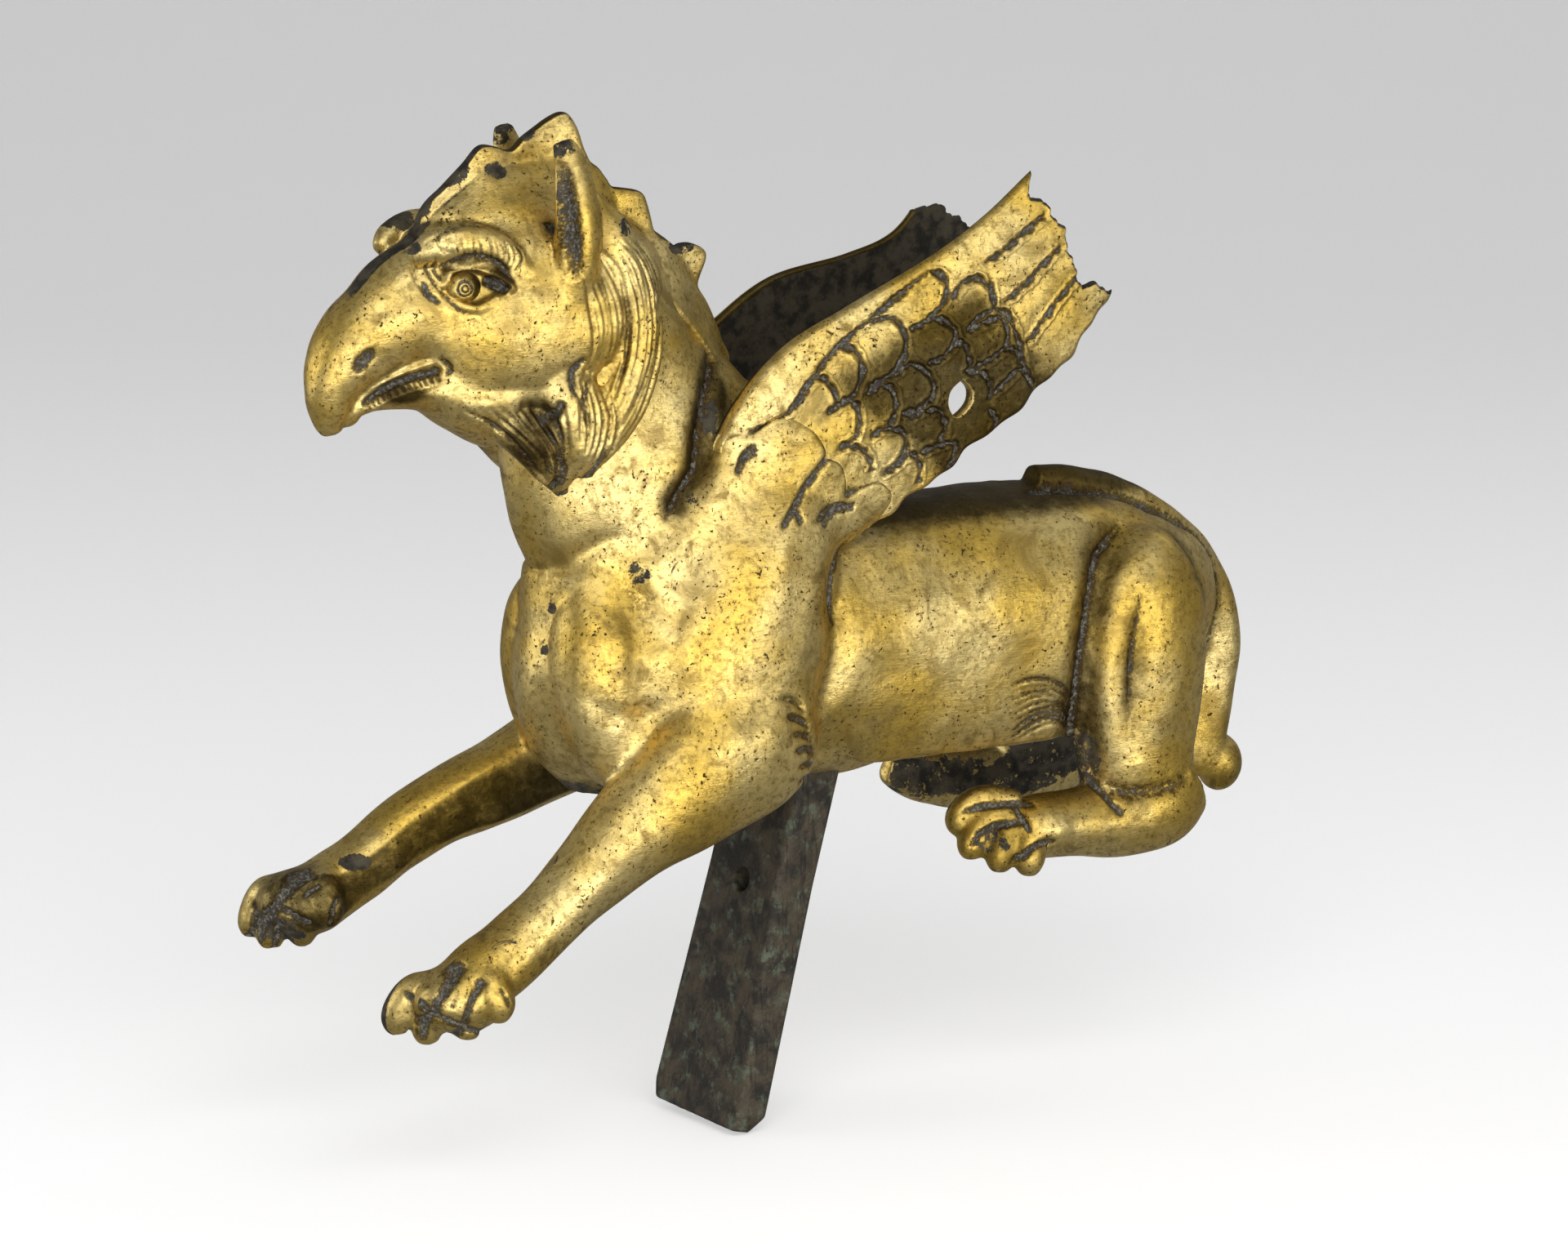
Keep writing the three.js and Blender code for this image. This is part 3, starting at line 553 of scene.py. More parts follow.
@dataclass(frozen=True)
class Gilding:
    """Worn fire gilding over cast bronze: satin gold, brown where thin, dark where it is lost; painted shade
    in hollows.
    """

    name: str = "gilded_bronze_worn"
    gold: str = "D2B052"
    pale: str = "E6CF8A"
    tarnish: str = "846C34"
    tarnish_and_shade_brown: str = "32270F"
    umber: str = "362819"
    lost: str = "463F2F"
    black: str = "1E1A12"
    dirt: str = "332E25"
    verdigris: str = "716E62"
    patch_size: float = 17.0  # millimetres
    speck_size: float = 0.9

    def build(self) -> bpy.types.Material:
        """The material."""
        p = Paint(self.name)
        grime, bare, tarnish_and_shade = (p.mark(mark) for mark in Mark)
        # Broad drift between full and pale gold
        tone = p.mix(p.steps(p.noise(self.patch_size * 1.6, 3.0), 0.35, 0.65), self.gold, self.pale)
        # Thin gilding lets the brown bronze through in clouds and in a fine mottle
        clouds = p.steps(p.noise(self.patch_size * 0.4, 8.0, 0.7, 0.5), 0.48, 0.7)
        mottle = p.steps(p.noise(1.8, 7.0, 0.74), 0.46, 0.64)
        drift = p.steps(p.noise(self.patch_size * 0.9, 7.0, 0.66, 0.7), 0.5, 0.68)
        clouds = p.most(p.times(clouds, 0.9), p.times(drift, 0.7))
        browned = p.most(clouds, p.times(mottle, 0.7))
        tone = p.mix(browned, tone, self.tarnish)
        # Fine dark rubbing along the forms
        rubbing = p.noise(0.45, 4.0, 0.65, place=p.stretched((0.2, 0.9, 0.4), (9.0, 0.8, 0.8)))
        rubbed = p.steps(rubbing, 0.52, 0.68)
        tone = p.mix(p.times(rubbed, 0.25), tone, self.umber)
        # Dark tarnish, and painted shade in hollows and creases, broken into clouds by noise
        veil = p.scaled(p.noise(5.0, 8.0, 0.7, 0.4), 1.5, -0.75)
        tarnish_and_shade_share = p.steps(p.times(tarnish_and_shade, p.math("ADD", veil, 1.0)), 0.12, 0.85)
        tone = p.mix(p.times(tarnish_and_shade_share, 0.9), tone, self.tarnish_and_shade_brown)
        # Casting pits and specks of several sizes
        limit = p.scaled(p.noise(self.patch_size * 0.7, 3.0), -0.24, 0.785)
        pits = p.steps(p.math("SUBTRACT", p.noise(self.speck_size, 2.5, 0.55), limit), 0.0, 0.03)
        blots = p.steps(p.noise(2.9, 6.0, 0.66, 0.6), 0.665, 0.685)
        pitted = p.most(pits, blots)
        tone = p.mix(p.times(pitted, 0.85), tone, self.umber)
        # Patches where the gilding is gone down to grey bronze
        worn = p.steps(p.noise(self.patch_size * 0.8, 9.0, 0.66, 0.9), 0.665, 0.685)
        ragged = p.scaled(p.noise(2.6, 8.0, 0.72), 3.0, -0.6)
        torn = p.steps(p.times(bare, ragged), 0.42, 0.5)
        gone = p.most(worn, torn)
        metal_below = p.mix(p.steps(p.noise(4.0, 6.0, 0.65), 0.4, 0.62), self.lost, self.black)
        tone = p.mix(gone, tone, metal_below)
        # Grime in the grooves, brown at its edges and with a breath of green
        broken = p.times(grime, p.math("ADD", p.steps(p.noise(1.3, 7.0, 0.7), 0.34, 0.64), 0.42))
        tone = p.mix(p.times(p.steps(broken, 0.08, 0.4), 0.8), tone, self.umber)
        dirty = p.steps(broken, 0.4, 0.75)
        green = p.steps(p.noise(0.9, 6.0, 0.72), 0.46, 0.62)
        tone = p.mix(dirty, tone, p.mix(green, self.dirt, self.verdigris))
        dielectric = p.most(dirty, p.times(gone, 0.8))
        metal = p.scaled(dielectric, -0.85, 1.0)
        rough = p.scaled(p.noise(3.0, 5.0), 0.16, 0.32)
        rough = p.scaled(p.most(browned, tarnish_and_shade_share), 0.12, rough)
        rough = p.scaled(p.most(dielectric, pitted), 0.25, rough)
        # Fine brushing, dents and the pits themselves
        scratches = p.noise(0.5, 3.0, 0.6, place=p.stretched((0.3, 0.5, 0.2), (7.0, 0.6, 0.6)))
        height = p.scaled(scratches, 0.3, p.noise(2.4, 5.0, 0.6))
        height = p.scaled(pitted, -0.9, height)
        height = p.scaled(gone, -0.6, height)
        height = p.scaled(p.times(dielectric, p.noise(0.7, 4.0)), 0.8, height)
        return p.finish(height, 0.17, Base_Color=tone, Metallic=metal, Roughness=rough)


@dataclass(frozen=True)
class BareBronze:
    """Bare dark bronze with green traces, long scratches and a pale crust low on its front."""

    name: str = "bare_bronze_dark"
    dark: str = "26221C"
    brown: str = "4A4132"
    green: str = "5C6654"
    pale: str = "9AA094"
    crust: Point = (-19.0, -9.0, 6.0)  # its middle from the origin, millimetres
    crust_reach: float = 17.0

    def build(self) -> bpy.types.Material:
        """The material."""
        p = Paint(self.name)
        tone = p.mix(p.steps(p.noise(7.0, 8.0, 0.68, 0.4), 0.38, 0.62), self.dark, self.brown)
        tone = p.mix(p.times(p.steps(p.noise(4.5, 7.0, 0.7), 0.52, 0.66), 0.75), tone, self.green)
        away = p.add("ShaderNodeVectorMath", operation="DISTANCE", _0=p.place, _1=self.crust).outputs["Value"]
        near = p.math("DIVIDE", away, self.crust_reach)
        pale = p.steps(p.math("SUBTRACT", p.noise(2.6, 8.0, 0.7, 0.5), p.times(near, 0.3)), 0.3, 0.4)
        tone = p.mix(p.times(pale, 0.8), tone, self.pale)
        lines = p.noise(0.9, 4.0, 0.65, place=p.stretched((0.1, 0.9, 0.0), (1.0, 1.0, 14.0)))
        scored = p.steps(lines, 0.56, 0.66)
        tone = p.mix(p.times(scored, 0.5), tone, self.dark)
        height = p.scaled(scored, -0.5, p.noise(1.3, 7.0, 0.7))
        height = p.scaled(pale, 0.4, height)
        return p.finish(height, 0.4, Base_Color=tone, Metallic=0.4, Roughness=0.55)


def dress(piece: bpy.types.Object, material: bpy.types.Material, slot: str, *nodes: str) -> None:
    """Gives the piece its finish and ties it to the frame."""
    piece.data.materials.clear()
    piece.data.materials.append(material)
    activate(piece)
    bpy.ops.object.shade_smooth()
    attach(piece, ROOT)
    if nodes:
        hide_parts(*nodes)
    log.info("%s: %d faces", piece.name, len(piece.data.polygons))


@dataclass(frozen=True)
class WingShape:
    """A wing by its two edges and its end. s runs from root to tip, t from leading to trailing edge."""

    side: int
    lead: Sequence[Point]
    trail: Sequence[Point]
    end: Sequence[Point]
    root_out: float = 20.5
    flare: float = 3.5
    bow: float = 2.6
    twist: float = 2.0
    root_swell: float = 2.5

    def point(self, s: np.ndarray, t: np.ndarray, lift: np.ndarray | float) -> np.ndarray:
        """Points at shares s and t, lifted off the middle of the blade by millimetres."""
        s, t = np.broadcast_arrays(s, t)
        flat = s.ravel()
        lead = spline(np.array(self.lead, float), flat * (len(self.lead) - 1))
        trail = spline(np.array(self.trail, float), flat * (len(self.trail) - 1))
        xz = (lead * (1 - t.ravel()[:, None]) + trail * t.ravel()[:, None]).reshape(*s.shape, 2)
        bow = self.bow * np.sin(math.pi * np.clip(t, 0, 1)) * (1 - s / 2)
        out = self.root_out + self.flare * s + bow - self.twist * (1 - t) * s + lift
        return np.stack([xz[..., 0], self.side * out, xz[..., 1]], -1)

    def edge(self, t: np.ndarray) -> np.ndarray:
        """Share s at which the broken end lies."""
        across, reach = np.array(self.end, float).T
        return np.interp(t, across, reach)


def chased(shape: WingShape, path: Sequence[Point]) -> np.ndarray:
    """A line through shares (s, t) of the wing, drawn in the X-Z plane."""
    s, t = np.array(path, float).T
    return shape.point(s, t, 0.0)[:, [0, 2]]


LEADING = [
    (-36, 70), (-31, 86), (-24.7, 98.5), (-11.3, 111.4), (6.7, 119.9), (29.6, 130), (44.5, 138.6),
    (57.2, 148.3),
]
TRAILING = [(0, 56), (10, 63.5), (24.8, 72), (40.5, 81.8), (58.5, 93.8), (70.8, 105), (79.8, 117.8)]
WORN_LEADING = [
    (-36, 70), (-31, 87), (-24, 98.5), (-7.5, 110.3), (9.4, 120.3), (31.5, 124.3), (45.7, 129),
    (56, 140.5),
]
NEAR_END = [
    (0, 1), (0.08, 0.968), (0.2, 0.985), (0.42, 0.985), (0.6, 0.955), (0.78, 0.935), (0.86, 0.975), (1, 1),
]
FAR_END = [(0, 0.915), (0.1, 0.955), (0.2, 0.978), (0.35, 0.985), (0.55, 1), (0.75, 0.97), (1, 0.985)]
NEAR_WING = WingShape(NEAR, LEADING, TRAILING, NEAR_END)
FAR_WING = WingShape(FAR, WORN_LEADING, TRAILING, FAR_END)


def root_skin_end(t: np.ndarray) -> np.ndarray:
    """Share s up to which the shoulder's skin covers the wing: the ends of the root feathers."""
    across = (0, 0.11, 0.16, 0.24, 0.36, 0.48, 0.52, 0.6, 0.7, 0.74, 0.79, 0.89, 0.98, 1)
    reach = (0.235, 0.247, 0.309, 0.336, 0.336, 0.306, 0.3, 0.3, 0.27, 0.285, 0.32, 0.312, 0.272, 0.26)
    return np.interp(t, across, reach)


@dataclass
class Wing:
    """A wing blade with chased feathers on its outer face. It rises from under the shoulder's skin."""

    name: str
    shape: WingShape
    feathers: Sequence[Sequence[Point]]
    quills: Sequence[Sequence[Point]]
    hole: Sequence[Point] = ()
    along: int = 300
    across: int = 160
    groove: float = 0.75  # depth of the chased lines and their half width
    half_groove: float = 0.72
    lip: float = 0.25  # height of the metal raised beside a line, its distance and its half width
    lip_gap: float = 1.35
    lip_width: float = 0.5
    pillow: float = 0.5  # height of a feather and the distance from its outline over which it rises
    pillow_rise: float = 2.6
    length: float = 110.0
    breadth: float = 50.0  # at the root, and what is lost of it towards the tip
    narrowing: float = 18.0
    edge_radius: float = 1.2
    root_share: float = 0.07  # share of the length under the shoulder's skin, and how deep it is sunk
    root_depth: float = 1.6

    def relief(self, flat: np.ndarray) -> tuple[np.ndarray, np.ndarray]:
        """Height in millimetres and grime of the chased lines at places in the X-Z plane."""
        wander = 0.16 * np.stack([np.sin(flat @ (0.9, 0.5)) + np.sin(flat @ (-1.9, 1.3)),
                                  np.sin(flat @ (0.4, -1.1)) + np.sin(flat @ (2.1, 1.7))], 1)
        reach, beyond, taper = 6.0, 9.0, 0.06
        nearest = np.full(len(flat), beyond)
        line = np.zeros(len(flat))
        lips = np.zeros(len(flat))
        for path in [*self.feathers, *self.quills]:
            guide = curve(chased(self.shape, path))
            near = np.where((flat > guide.min(0) - reach).all(1) & (flat < guide.max(0) + reach).all(1))[0]
            if not len(near):
                continue
            gap, share = distance_to(flat[near] + wander[near], guide)
            ends = np.sqrt(tapered(share, taper))
            breadth = self.half_groove * (0.8 + 0.35 * np.sin(share * 23 + len(path)))
            line[near] = np.maximum(line[near], fade(gap, breadth) * ends)
            lips[near] = np.maximum(lips[near], fade(gap - self.lip_gap, self.lip_width) * ends)
            nearest[near] = np.minimum(nearest[near], gap)
        risen = 1 - np.exp(-nearest / self.pillow_rise)
        return self.pillow * risen + self.lip * lips - self.groove * line, line

    def form(self) -> tuple[Form, dict[Mark, np.ndarray]]:
        """The closed blade and the marks of its points."""
        shares = (np.linspace(0, 1, count + 1) for count in (self.along, self.across))
        i, j = np.meshgrid(*shares, indexing="ij")
        shape = self.shape
        chips = 0.004 * np.sin(j * 31 + 1) + 0.0025 * np.sin(j * 74 + 2) + 0.001 * np.sin(j * 151)
        root = root_skin_end(j) - self.root_share
        s = root + i * (shape.edge(j) + chips - root)
        t = j + ramp(j, 0.88, 1.0) * (0.012 * np.sin(s * 34) + 0.008 * np.sin(s * 71 + 1))
        half = WING_THICKNESS / 2 + shape.root_swell * (1 - s) ** 3
        side_gap = np.minimum(j, 1 - j) * (self.breadth - self.narrowing * s)
        end_gap = (1 - i) * self.length
        edge_gap = np.minimum(side_gap, end_gap)
        inward = np.clip(edge_gap / self.edge_radius, 0, 1)
        rounding = np.sqrt(np.clip(1 - (1 - inward) ** 2, 0.02, 1))
        flat = shape.point(s, t, 0.0)[..., [0, 2]].reshape(-1, 2)
        height, grime = (values.reshape(s.shape) for values in self.relief(flat))
        sunk = self.root_depth * ramp(s - root_skin_end(j), -0.005, -0.05)
        settle = ramp(edge_gap, 0.2, 1.4)
        outer = shape.point(s, t, half * rounding + height * settle - sunk)
        inner = shape.point(s, t, -half * rounding * 0.9)
        rows, cols = s.shape
        top = np.arange(rows * cols).reshape(rows, cols)
        corners = (top[:-1, :-1], top[1:, :-1], top[1:, 1:], top[:-1, 1:])
        a, b, c, d = (corner.ravel() for corner in corners)
        under = rows * cols
        faces = [np.c_[a, b, c], np.c_[a, c, d], np.c_[c, b, a] + under, np.c_[d, c, a] + under]
        loop = np.r_[top[:-1, 0], top[-1, :-1], top[:0:-1, -1], top[0, :0:-1]]
        ahead = np.roll(loop, -1)
        faces += [np.c_[loop, loop + under, ahead], np.c_[ahead, loop + under, ahead + under]]
        dark = ramp(s, 0.34, 0.47) * ramp(s, 0.79, 0.68) * ramp(t, 0.14, 0.36)
        broken = ramp(end_gap, 1.6, 0.5)
        marks = {
            Mark.GRIME: np.r_[grime.ravel(), np.zeros(under)],
            Mark.BARE: np.r_[broken.ravel(), ramp(j * self.breadth, 0.8, 2.2).ravel()],
            # Dark brown across the middle of the blade and toward the tip; the inner face dark all over
            Mark.TARNISH_AND_SHADE: np.r_[(0.85 * dark + 0.3 * ramp(s, 0.75, 0.9)).ravel(), np.ones(under)],
        }
        return Form(np.vstack([outer.reshape(-1, 3), inner.reshape(-1, 3)]), np.vstack(faces)), marks

    def build(self, material: bpy.types.Material) -> bpy.types.Object:
        """The dressed wing."""
        form, marks = self.form()
        piece = mesh_piece(self.name, [form])
        write_marks(piece.data, marks)
        if len(self.hole):
            corners = curve([*self.hole, self.hole[0]], 4)[:-1]
            rings = [self.shape.point(corners[:, 0], corners[:, 1], lift) for lift in (-8.0, 8.0)]
            cut(piece, Form.skin(np.array(rings)))
        dress(piece, material, GILDED_SLOT)
        return piece


@dataclass
class Body:
    """Trunk, neck, legs, tail and wing roots, melted into one surface and carved."""

    voxel: float = 0.6
    triangles: int = 190_000
    blends: tuple[tuple[Point, Point], ...] = (
        ((-46, 18, 64), (22, 16, 20)), ((-26, 24, 66), (18, 14, 30)), ((-52, 16, 30), (22, 18, 26)),
        ((-30, 26, 22), (26, 14, 18)), ((-6, 26, 26), (14, 12, 26)), ((96, 18, 44), (20, 16, 22)),
        ((-14, 22, 92), (14, 12, 18)), ((102, 16, 10), (16, 14, 24)), ((76, 24, 24), (6, 10, 18)),
        ((-102, 25, -28), (12, 12, 8)), ((-117, 25, -16), (12, 12, 8)), ((90, 26, -6), (18, 12, 8)),
    )
    # Dark tarnish, and painted shade in the thigh fold and behind the haunch
    tarnish_and_shade_spots: tuple[Spot, ...] = (
        ((60, -8, 66), (60, 20, 8), 0.7), ((-120, 24, -22), (18, 14, 16), 0.7),
        ((72, -24, 20), (7, 12, 30), 0.55), ((-106, -25, -38), (12, 12, 10), 0.4),
        ((-26, -18, 104), (8, 12, 13), 0.95), ((-34, -24, 88), (6, 12, 11), 0.9),
        ((-40, -26, 76), (5, 10, 7), 0.7),
        ((-10, -34, 40), (15, 14, 26), 0.28), ((114, -9, 22), (6, 9, 32), 0.7),
        ((50, -26, -16), (14, 12, 10), 0.5), ((131, -5, -13), (8, 8, 8), 0.45),
    )
    bare_spots: tuple[Spot, ...] = (
        ((-107, 19, -12), (6, 6, 3), 1.0), ((-124, 24, -26), (12, 14, 9), 0.62),
        ((-106, -25, -40), (9, 12, 8), 0.5), ((-66.3, -7.5, 51.2), (2.4, 3, 2.4), 1.0),
        ((-68.3, -7.5, 41.4), (2, 3, 2), 1.0), ((-50, -20, 60), (5, 8, 7), 0.5),
        ((-29, -21, 98), (5, 12, 12), 0.85), ((-37, -26, 80), (4, 10, 8), 0.8),
        ((46, -26, -16), (10, 12, 8), 0.5), ((74, -24, 0), (5, 10, 14), 0.6),
        ((58, 20, -12), (26, 14, 9), 0.7),
    )
    tail_seam: tuple[Point, ...] = (
        (65.5, 66.5), (77.5, 65.2), (87.2, 62.4), (98, 59.2), (107.8, 55.2), (116.6, 48.7), (121.8, 39.9),
        (123.4, 29), (120.8, 18), (117, 8),
    )

    def trunk(self) -> Form:
        """The barrel, with its lower side cut level behind the chest."""
        form = Form.loft([
            (-60, 0, 33, 15, 13, 14), (-50, 0, 34, 23, 22, 22), (-38, 0, 35, 27.5, 30, 28),
            (-18, 0, 35, 28.5, 35, 31), (2, 0, 34, 28, 34.5, 32), (26, 0, 33.5, 27, 33.5, 43, 2.3),
            (55, 0, 33.5, 27.5, 33.5, 44, 2.3), (80, 0, 33, 27, 32, 43, 2.3), (102, 0, 29, 24, 28, 34),
            (115, 0, 23.5, 13.5, 22, 25), (121.5, 0, 20, 6.5, 14, 17), (125, 0, 18, 3, 5, 7),
        ], 64)

        def level(points: np.ndarray) -> np.ndarray:
            rear = points[:, 0] > 7
            points[rear, 2] = np.maximum(points[rear, 2], 5.5)
            return points

        return form.kept(level)

    def neck(self) -> Form:
        """The deep neck, down into the chest."""
        return Form.loft([
            (-56, 0, 138, 12, 11, 12), (-54, 0, 127, 17, 20, 20), (-50, 0, 114, 17.5, 24, 25),
            (-46, 0, 100, 18, 29, 31), (-40, 0, 86, 20, 33, 36), (-32, 0, 71, 23, 37, 38),
            (-29, 0, 54, 26.5, 38, 40.5), (-27, 0, 39, 28, 36, 45), (-25, 0, 25, 27, 34, 44),
            (-22, 0, 12, 22, 28, 37),
        ], 56)

    def pectoral(self, side: int) -> Form:
        """One breast muscle."""
        return Form.loft([
            (-56.5, side * 9, 56, 6, 6, 8), (-56.5, side * 12, 45, 11, 8, 12),
            (-56, side * 13, 31, 11.5, 9, 12.5), (-52, side * 15, 17, 9, 8, 11), (-48, side * 16, 9, 5, 5, 6),
        ])

    def shoulder(self, side: int) -> Form:
        """The shoulder blade, which carries the wing."""
        return Form.loft([
            (-30, side * 22, 8, 10, 15, 18), (-25, side * 22.5, 22, 10.5, 20, 22),
            (-22, side * 22.5, 40, 10.5, 23, 24), (-17, side * 21.5, 57, 10, 22, 22),
            (-10, side * 20, 72, 8.5, 19, 18), (-3, side * 19, 84, 5, 14, 14),
        ])

    def thigh(self, side: int) -> Form:
        """The hind leg from hip to hock."""
        return Form.loft([
            (87, side * 24, -12, 9, 12, 17.5), (87.5, side * 24, 2, 10.5, 15, 18.5),
            (89, side * 24, 20, 11, 17.5, 19.5), (91.5, side * 23.5, 35, 10.5, 18.5, 17.5),
            (93.5, side * 21.5, 44, 9.5, 16.5, 14.5), (95, side * 19, 51, 7, 11, 9.5),
            (96, side * 17, 55, 3.5, 5, 5),
        ])

    def rump(self, side: int) -> Form:
        """The haunch."""
        return Form.ball((94, side * 12, 27), (18.5, 15.5, 28), 48)

    def flat_inside(self, form: Form, side: int) -> Form:
        """A leg with its flat inner side."""
        def clamp(points: np.ndarray) -> np.ndarray:
            points[:, 1] = side * np.maximum(side * points[:, 1], LEG_GAP / 2)
            return points
        return form.kept(clamp)

    def toes(self, side: int, knuckles: Sequence[Point], paw: Point, thick: float) -> list[Form]:
        """Toes that bend down from the top of the paw to their tips."""
        forms = []
        for tip in knuckles:
            def towards(share: float, rise: float) -> list[float]:
                x, y, z = (a + (b - a) * share for a, b in zip(tip, paw))
                return [x, side * y, z + rise]
            forms.append(Form.loft([
                (*towards(0, -thick * 0.6), thick * 0.6, thick * 0.55, thick * 0.5),
                (*towards(-0.04, thick * 0.35), thick, thick * 0.95, thick),
                (*towards(0.22, thick * 1.5), thick, thick, thick),
                (*towards(0.7, thick * 1.2), thick, thick, thick),
            ], 24))
        return forms

    def foreleg(self, side: int, stations: Sequence[Point], knuckles: Sequence[Point],
                paw: Point) -> list[Form]:
        """One foreleg with its paw."""
        leg = self.flat_inside(Form.loft(stations), side)
        pad = Form.ball((paw[0], side * paw[1], paw[2]), (12, 10, 8.5))
        return [leg, pad, *self.toes(side, knuckles, paw, 4.2)]

    def forelegs(self) -> list[Form]:
        """Both forelegs, stretched forward."""
        near = self.foreleg(NEAR, [
            (-105, -25, -37, 8, 6, 6), (-97, -25, -31.5, 9, 8.5, 8.5), (-87, -25, -26, 8.8, 8.2, 8.8),
            (-77, -25, -18.5, 8.5, 8, 8.5), (-66, -25, -9, 9.5, 9, 10.5), (-53, -25, 1, 11, 12, 14),
            (-38, -25, 10, 12, 16.5, 17.5), (-22, -24, 19, 12, 20, 20), (-13, -22, 27, 10, 17, 16),
        ], [
            (-113, 17, -42), (-108.5, 23, -43.5), (-101.5, 29, -42), (-96, 33.5, -37.5),
        ], (-101, 25, -35.5))
        far = self.foreleg(FAR, [
            (-122, 25, -24, 8, 6, 6), (-114, 25, -20.5, 9, 8.5, 8.5), (-104, 25, -15.5, 8.5, 7.8, 8.6),
            (-93, 25, -9, 8.5, 8.5, 8.6), (-80, 25, -3.2, 9.5, 9.2, 9.2), (-64, 25, 2.5, 11, 9.5, 11),
            (-44, 25, 11, 12, 12, 14.5), (-26, 24, 20, 12, 18, 20), (-13, 22, 27, 10, 17, 16),
        ], [
            (-127, 33, -28.5), (-125, 27.5, -30.5), (-120, 22, -29), (-115.5, 17, -23.5),
        ], (-117.5, 25, -21.5))
        return near + far

    def lower_hind_leg(self, side: int, front: Sequence[Point], instep: float) -> Form:
        """Shank and foot, flat inside."""
        return self.flat_inside(Form.loft([
            *front, (69, side * 26, -15, 9, instep, 8.5), (82, side * 26, -14.5, 9.5, instep + 1.5, 11),
            (94, side * 26, -12, 9.5, 10.5, 13), (103, side * 25, -7.5, 7, 9, 11),
        ]), side)

    def hind_feet(self) -> list[Form]:
        """The whole near foot and the broken far one."""
        paw = (60, 26, -14.5)
        knuckles = [(42, 18.5, -13.5), (43, 22.5, -19), (48, 27, -22), (53.5, 31, -22.5)]
        pad = Form.ball((paw[0], NEAR * paw[1], paw[2]), (11, 9.5, 7.5))
        near = self.lower_hind_leg(NEAR, [(56, NEAR * 26, -14.5, 8.5, 7.5, 8)], 8)
        far = self.lower_hind_leg(FAR, [
            (42, 18.5, -8.5, 3, 4, 3), (50, 21, -11, 5.5, 7.5, 5.5), (59, 24, -13.5, 7.5, 10.5, 7),
        ], 12)
        return [near, pad, *self.toes(NEAR, knuckles, paw, 4), far]

    def tail(self) -> list[Form]:
        """The tail, laid down the rump and broken off at both ends."""
        return [Form.loft([
            (72.5, 0, 66.6, 4.4, 4, 5), (84, 0, 65, 4.8, 4.4, 7), (104, 0, 57.6, 5, 4.6, 8),
            (118.5, 0, 46.6, 5.2, 4.6, 9), (127.5, 0, 33.5, 5.4, 4.6, 10), (130.8, 0, 20, 5.4, 4.6, 11),
            (128.6, 0, 3, 5.2, 4.4, 11), (126.5, 0, -10, 5, 4.5, 9), (126, 0, -16, 4, 4, 5),
        ], 28), Form.ball((130.5, 0, -13), (6, 6, 7.5))]

    def wing_root(self, shape: WingShape) -> Form:
        """The inner part of a blade, a little thicker up to the ends of the root feathers."""
        around = 36
        t = np.linspace(0, 1, around)
        rings = []
        for share in (*np.linspace(0, 1, 26), 1.04, 1.07):
            s = share * root_skin_end(t)
            closing = 40 * max(share - 1.0, 0)
            depth = WING_THICKNESS / 2 + 0.75 + shape.root_swell * (1 - s) ** 3 - closing
            edge = np.sqrt(np.clip(np.minimum(t, 1 - t) * 12, 0.1, 1))
            lift = np.r_[depth * edge, -depth[::-1] * edge[::-1]]
            rings.append(shape.point(np.r_[s, s[::-1]], np.r_[t, t[::-1]], lift))
        return Form.skin(np.array(rings))

    def chest_fill(self) -> Form:
        """The filling round the tang, with the rough solder behind it."""
        return Form.loft([
            (-42, 0, 10, 16, 6, 8), (-30, 0, 10, 19, 10, 10), (-5, 0, 10, 19, 12, 10),
            (14, 0, 9, 17, 12, 9.5), (24, 0, 7, 11, 8, 7), (27, 0, 6, 6, 5, 3),
        ])

    def hollow(self) -> Form:
        """The space inside the barrel, a wall inside its skin."""
        skin = [
            (27, 33, 21, 26, 39, 2), (34, 33.5, 26.5, 33, 44, 2.3), (55, 33.5, 27.5, 33.5, 44, 2.3),
            (80, 33, 27, 32, 43, 2.3), (100, 29.5, 25, 27.5, 37, 2.3), (110, 26, 20, 20, 32, 2),
        ]
        stations = [(x, 0, z, *(half - WALL for half in halves), square) for x, z, *halves, square in skin]
        return Form.loft(stations)

    def soften(self, clay: Clay) -> None:
        """Blends the melted forms into each other."""
        clay.relax(8)
        clay.melt(self.blends, 70)
        clay.wobble(0.2, (10, 30), 3)
        clay.refresh()

    def sculpt(self, clay: Clay) -> None:
        """Creases, paws and tufts."""
        for side in (NEAR, FAR):
            clay.carve(self.creases(), side)
            clay.score([(x, side * 6.4, z) for x, z in self.tail_seam], 2.2, 1.8, 1.0)
        clay.carve(self.hind_strokes(), NEAR)
        clay.carve(self.near_paw_strokes(), NEAR)
        clay.carve(self.far_paw_strokes(), NEAR, low=-60)
        for shape in (NEAR_WING, FAR_WING):
            feathers = [Stroke(chased(shape, path), 0.9, 0.75, 1.0, taper=0.05) for path in ROOT_FEATHERS]
            clay.carve(feathers, shape.side, low=19)
        clay.relax(1, 0.3)
        clay.refresh()
        clay.crevices(Mark.GRIME, 14, 0.9, 0.12)
        # Painted shade: the broad hollows darken by their depth
        clay.crevices(Mark.TARNISH_AND_SHADE, 90, 0.55, 0.35)
        x, y, z = clay.co.T
        # The flat inner sides of the legs: bared, and on the forelegs darkened
        inner = ramp(np.abs(y), 18.2, 17.2) * ramp(z, 12, 4)
        clay.raise_mark(Mark.BARE, 0.8 * inner * (((x < -30) & (y < 0)) | ((x > 38) & (x < 118))))
        clay.raise_mark(Mark.TARNISH_AND_SHADE, 0.75 * inner * (x < -30))
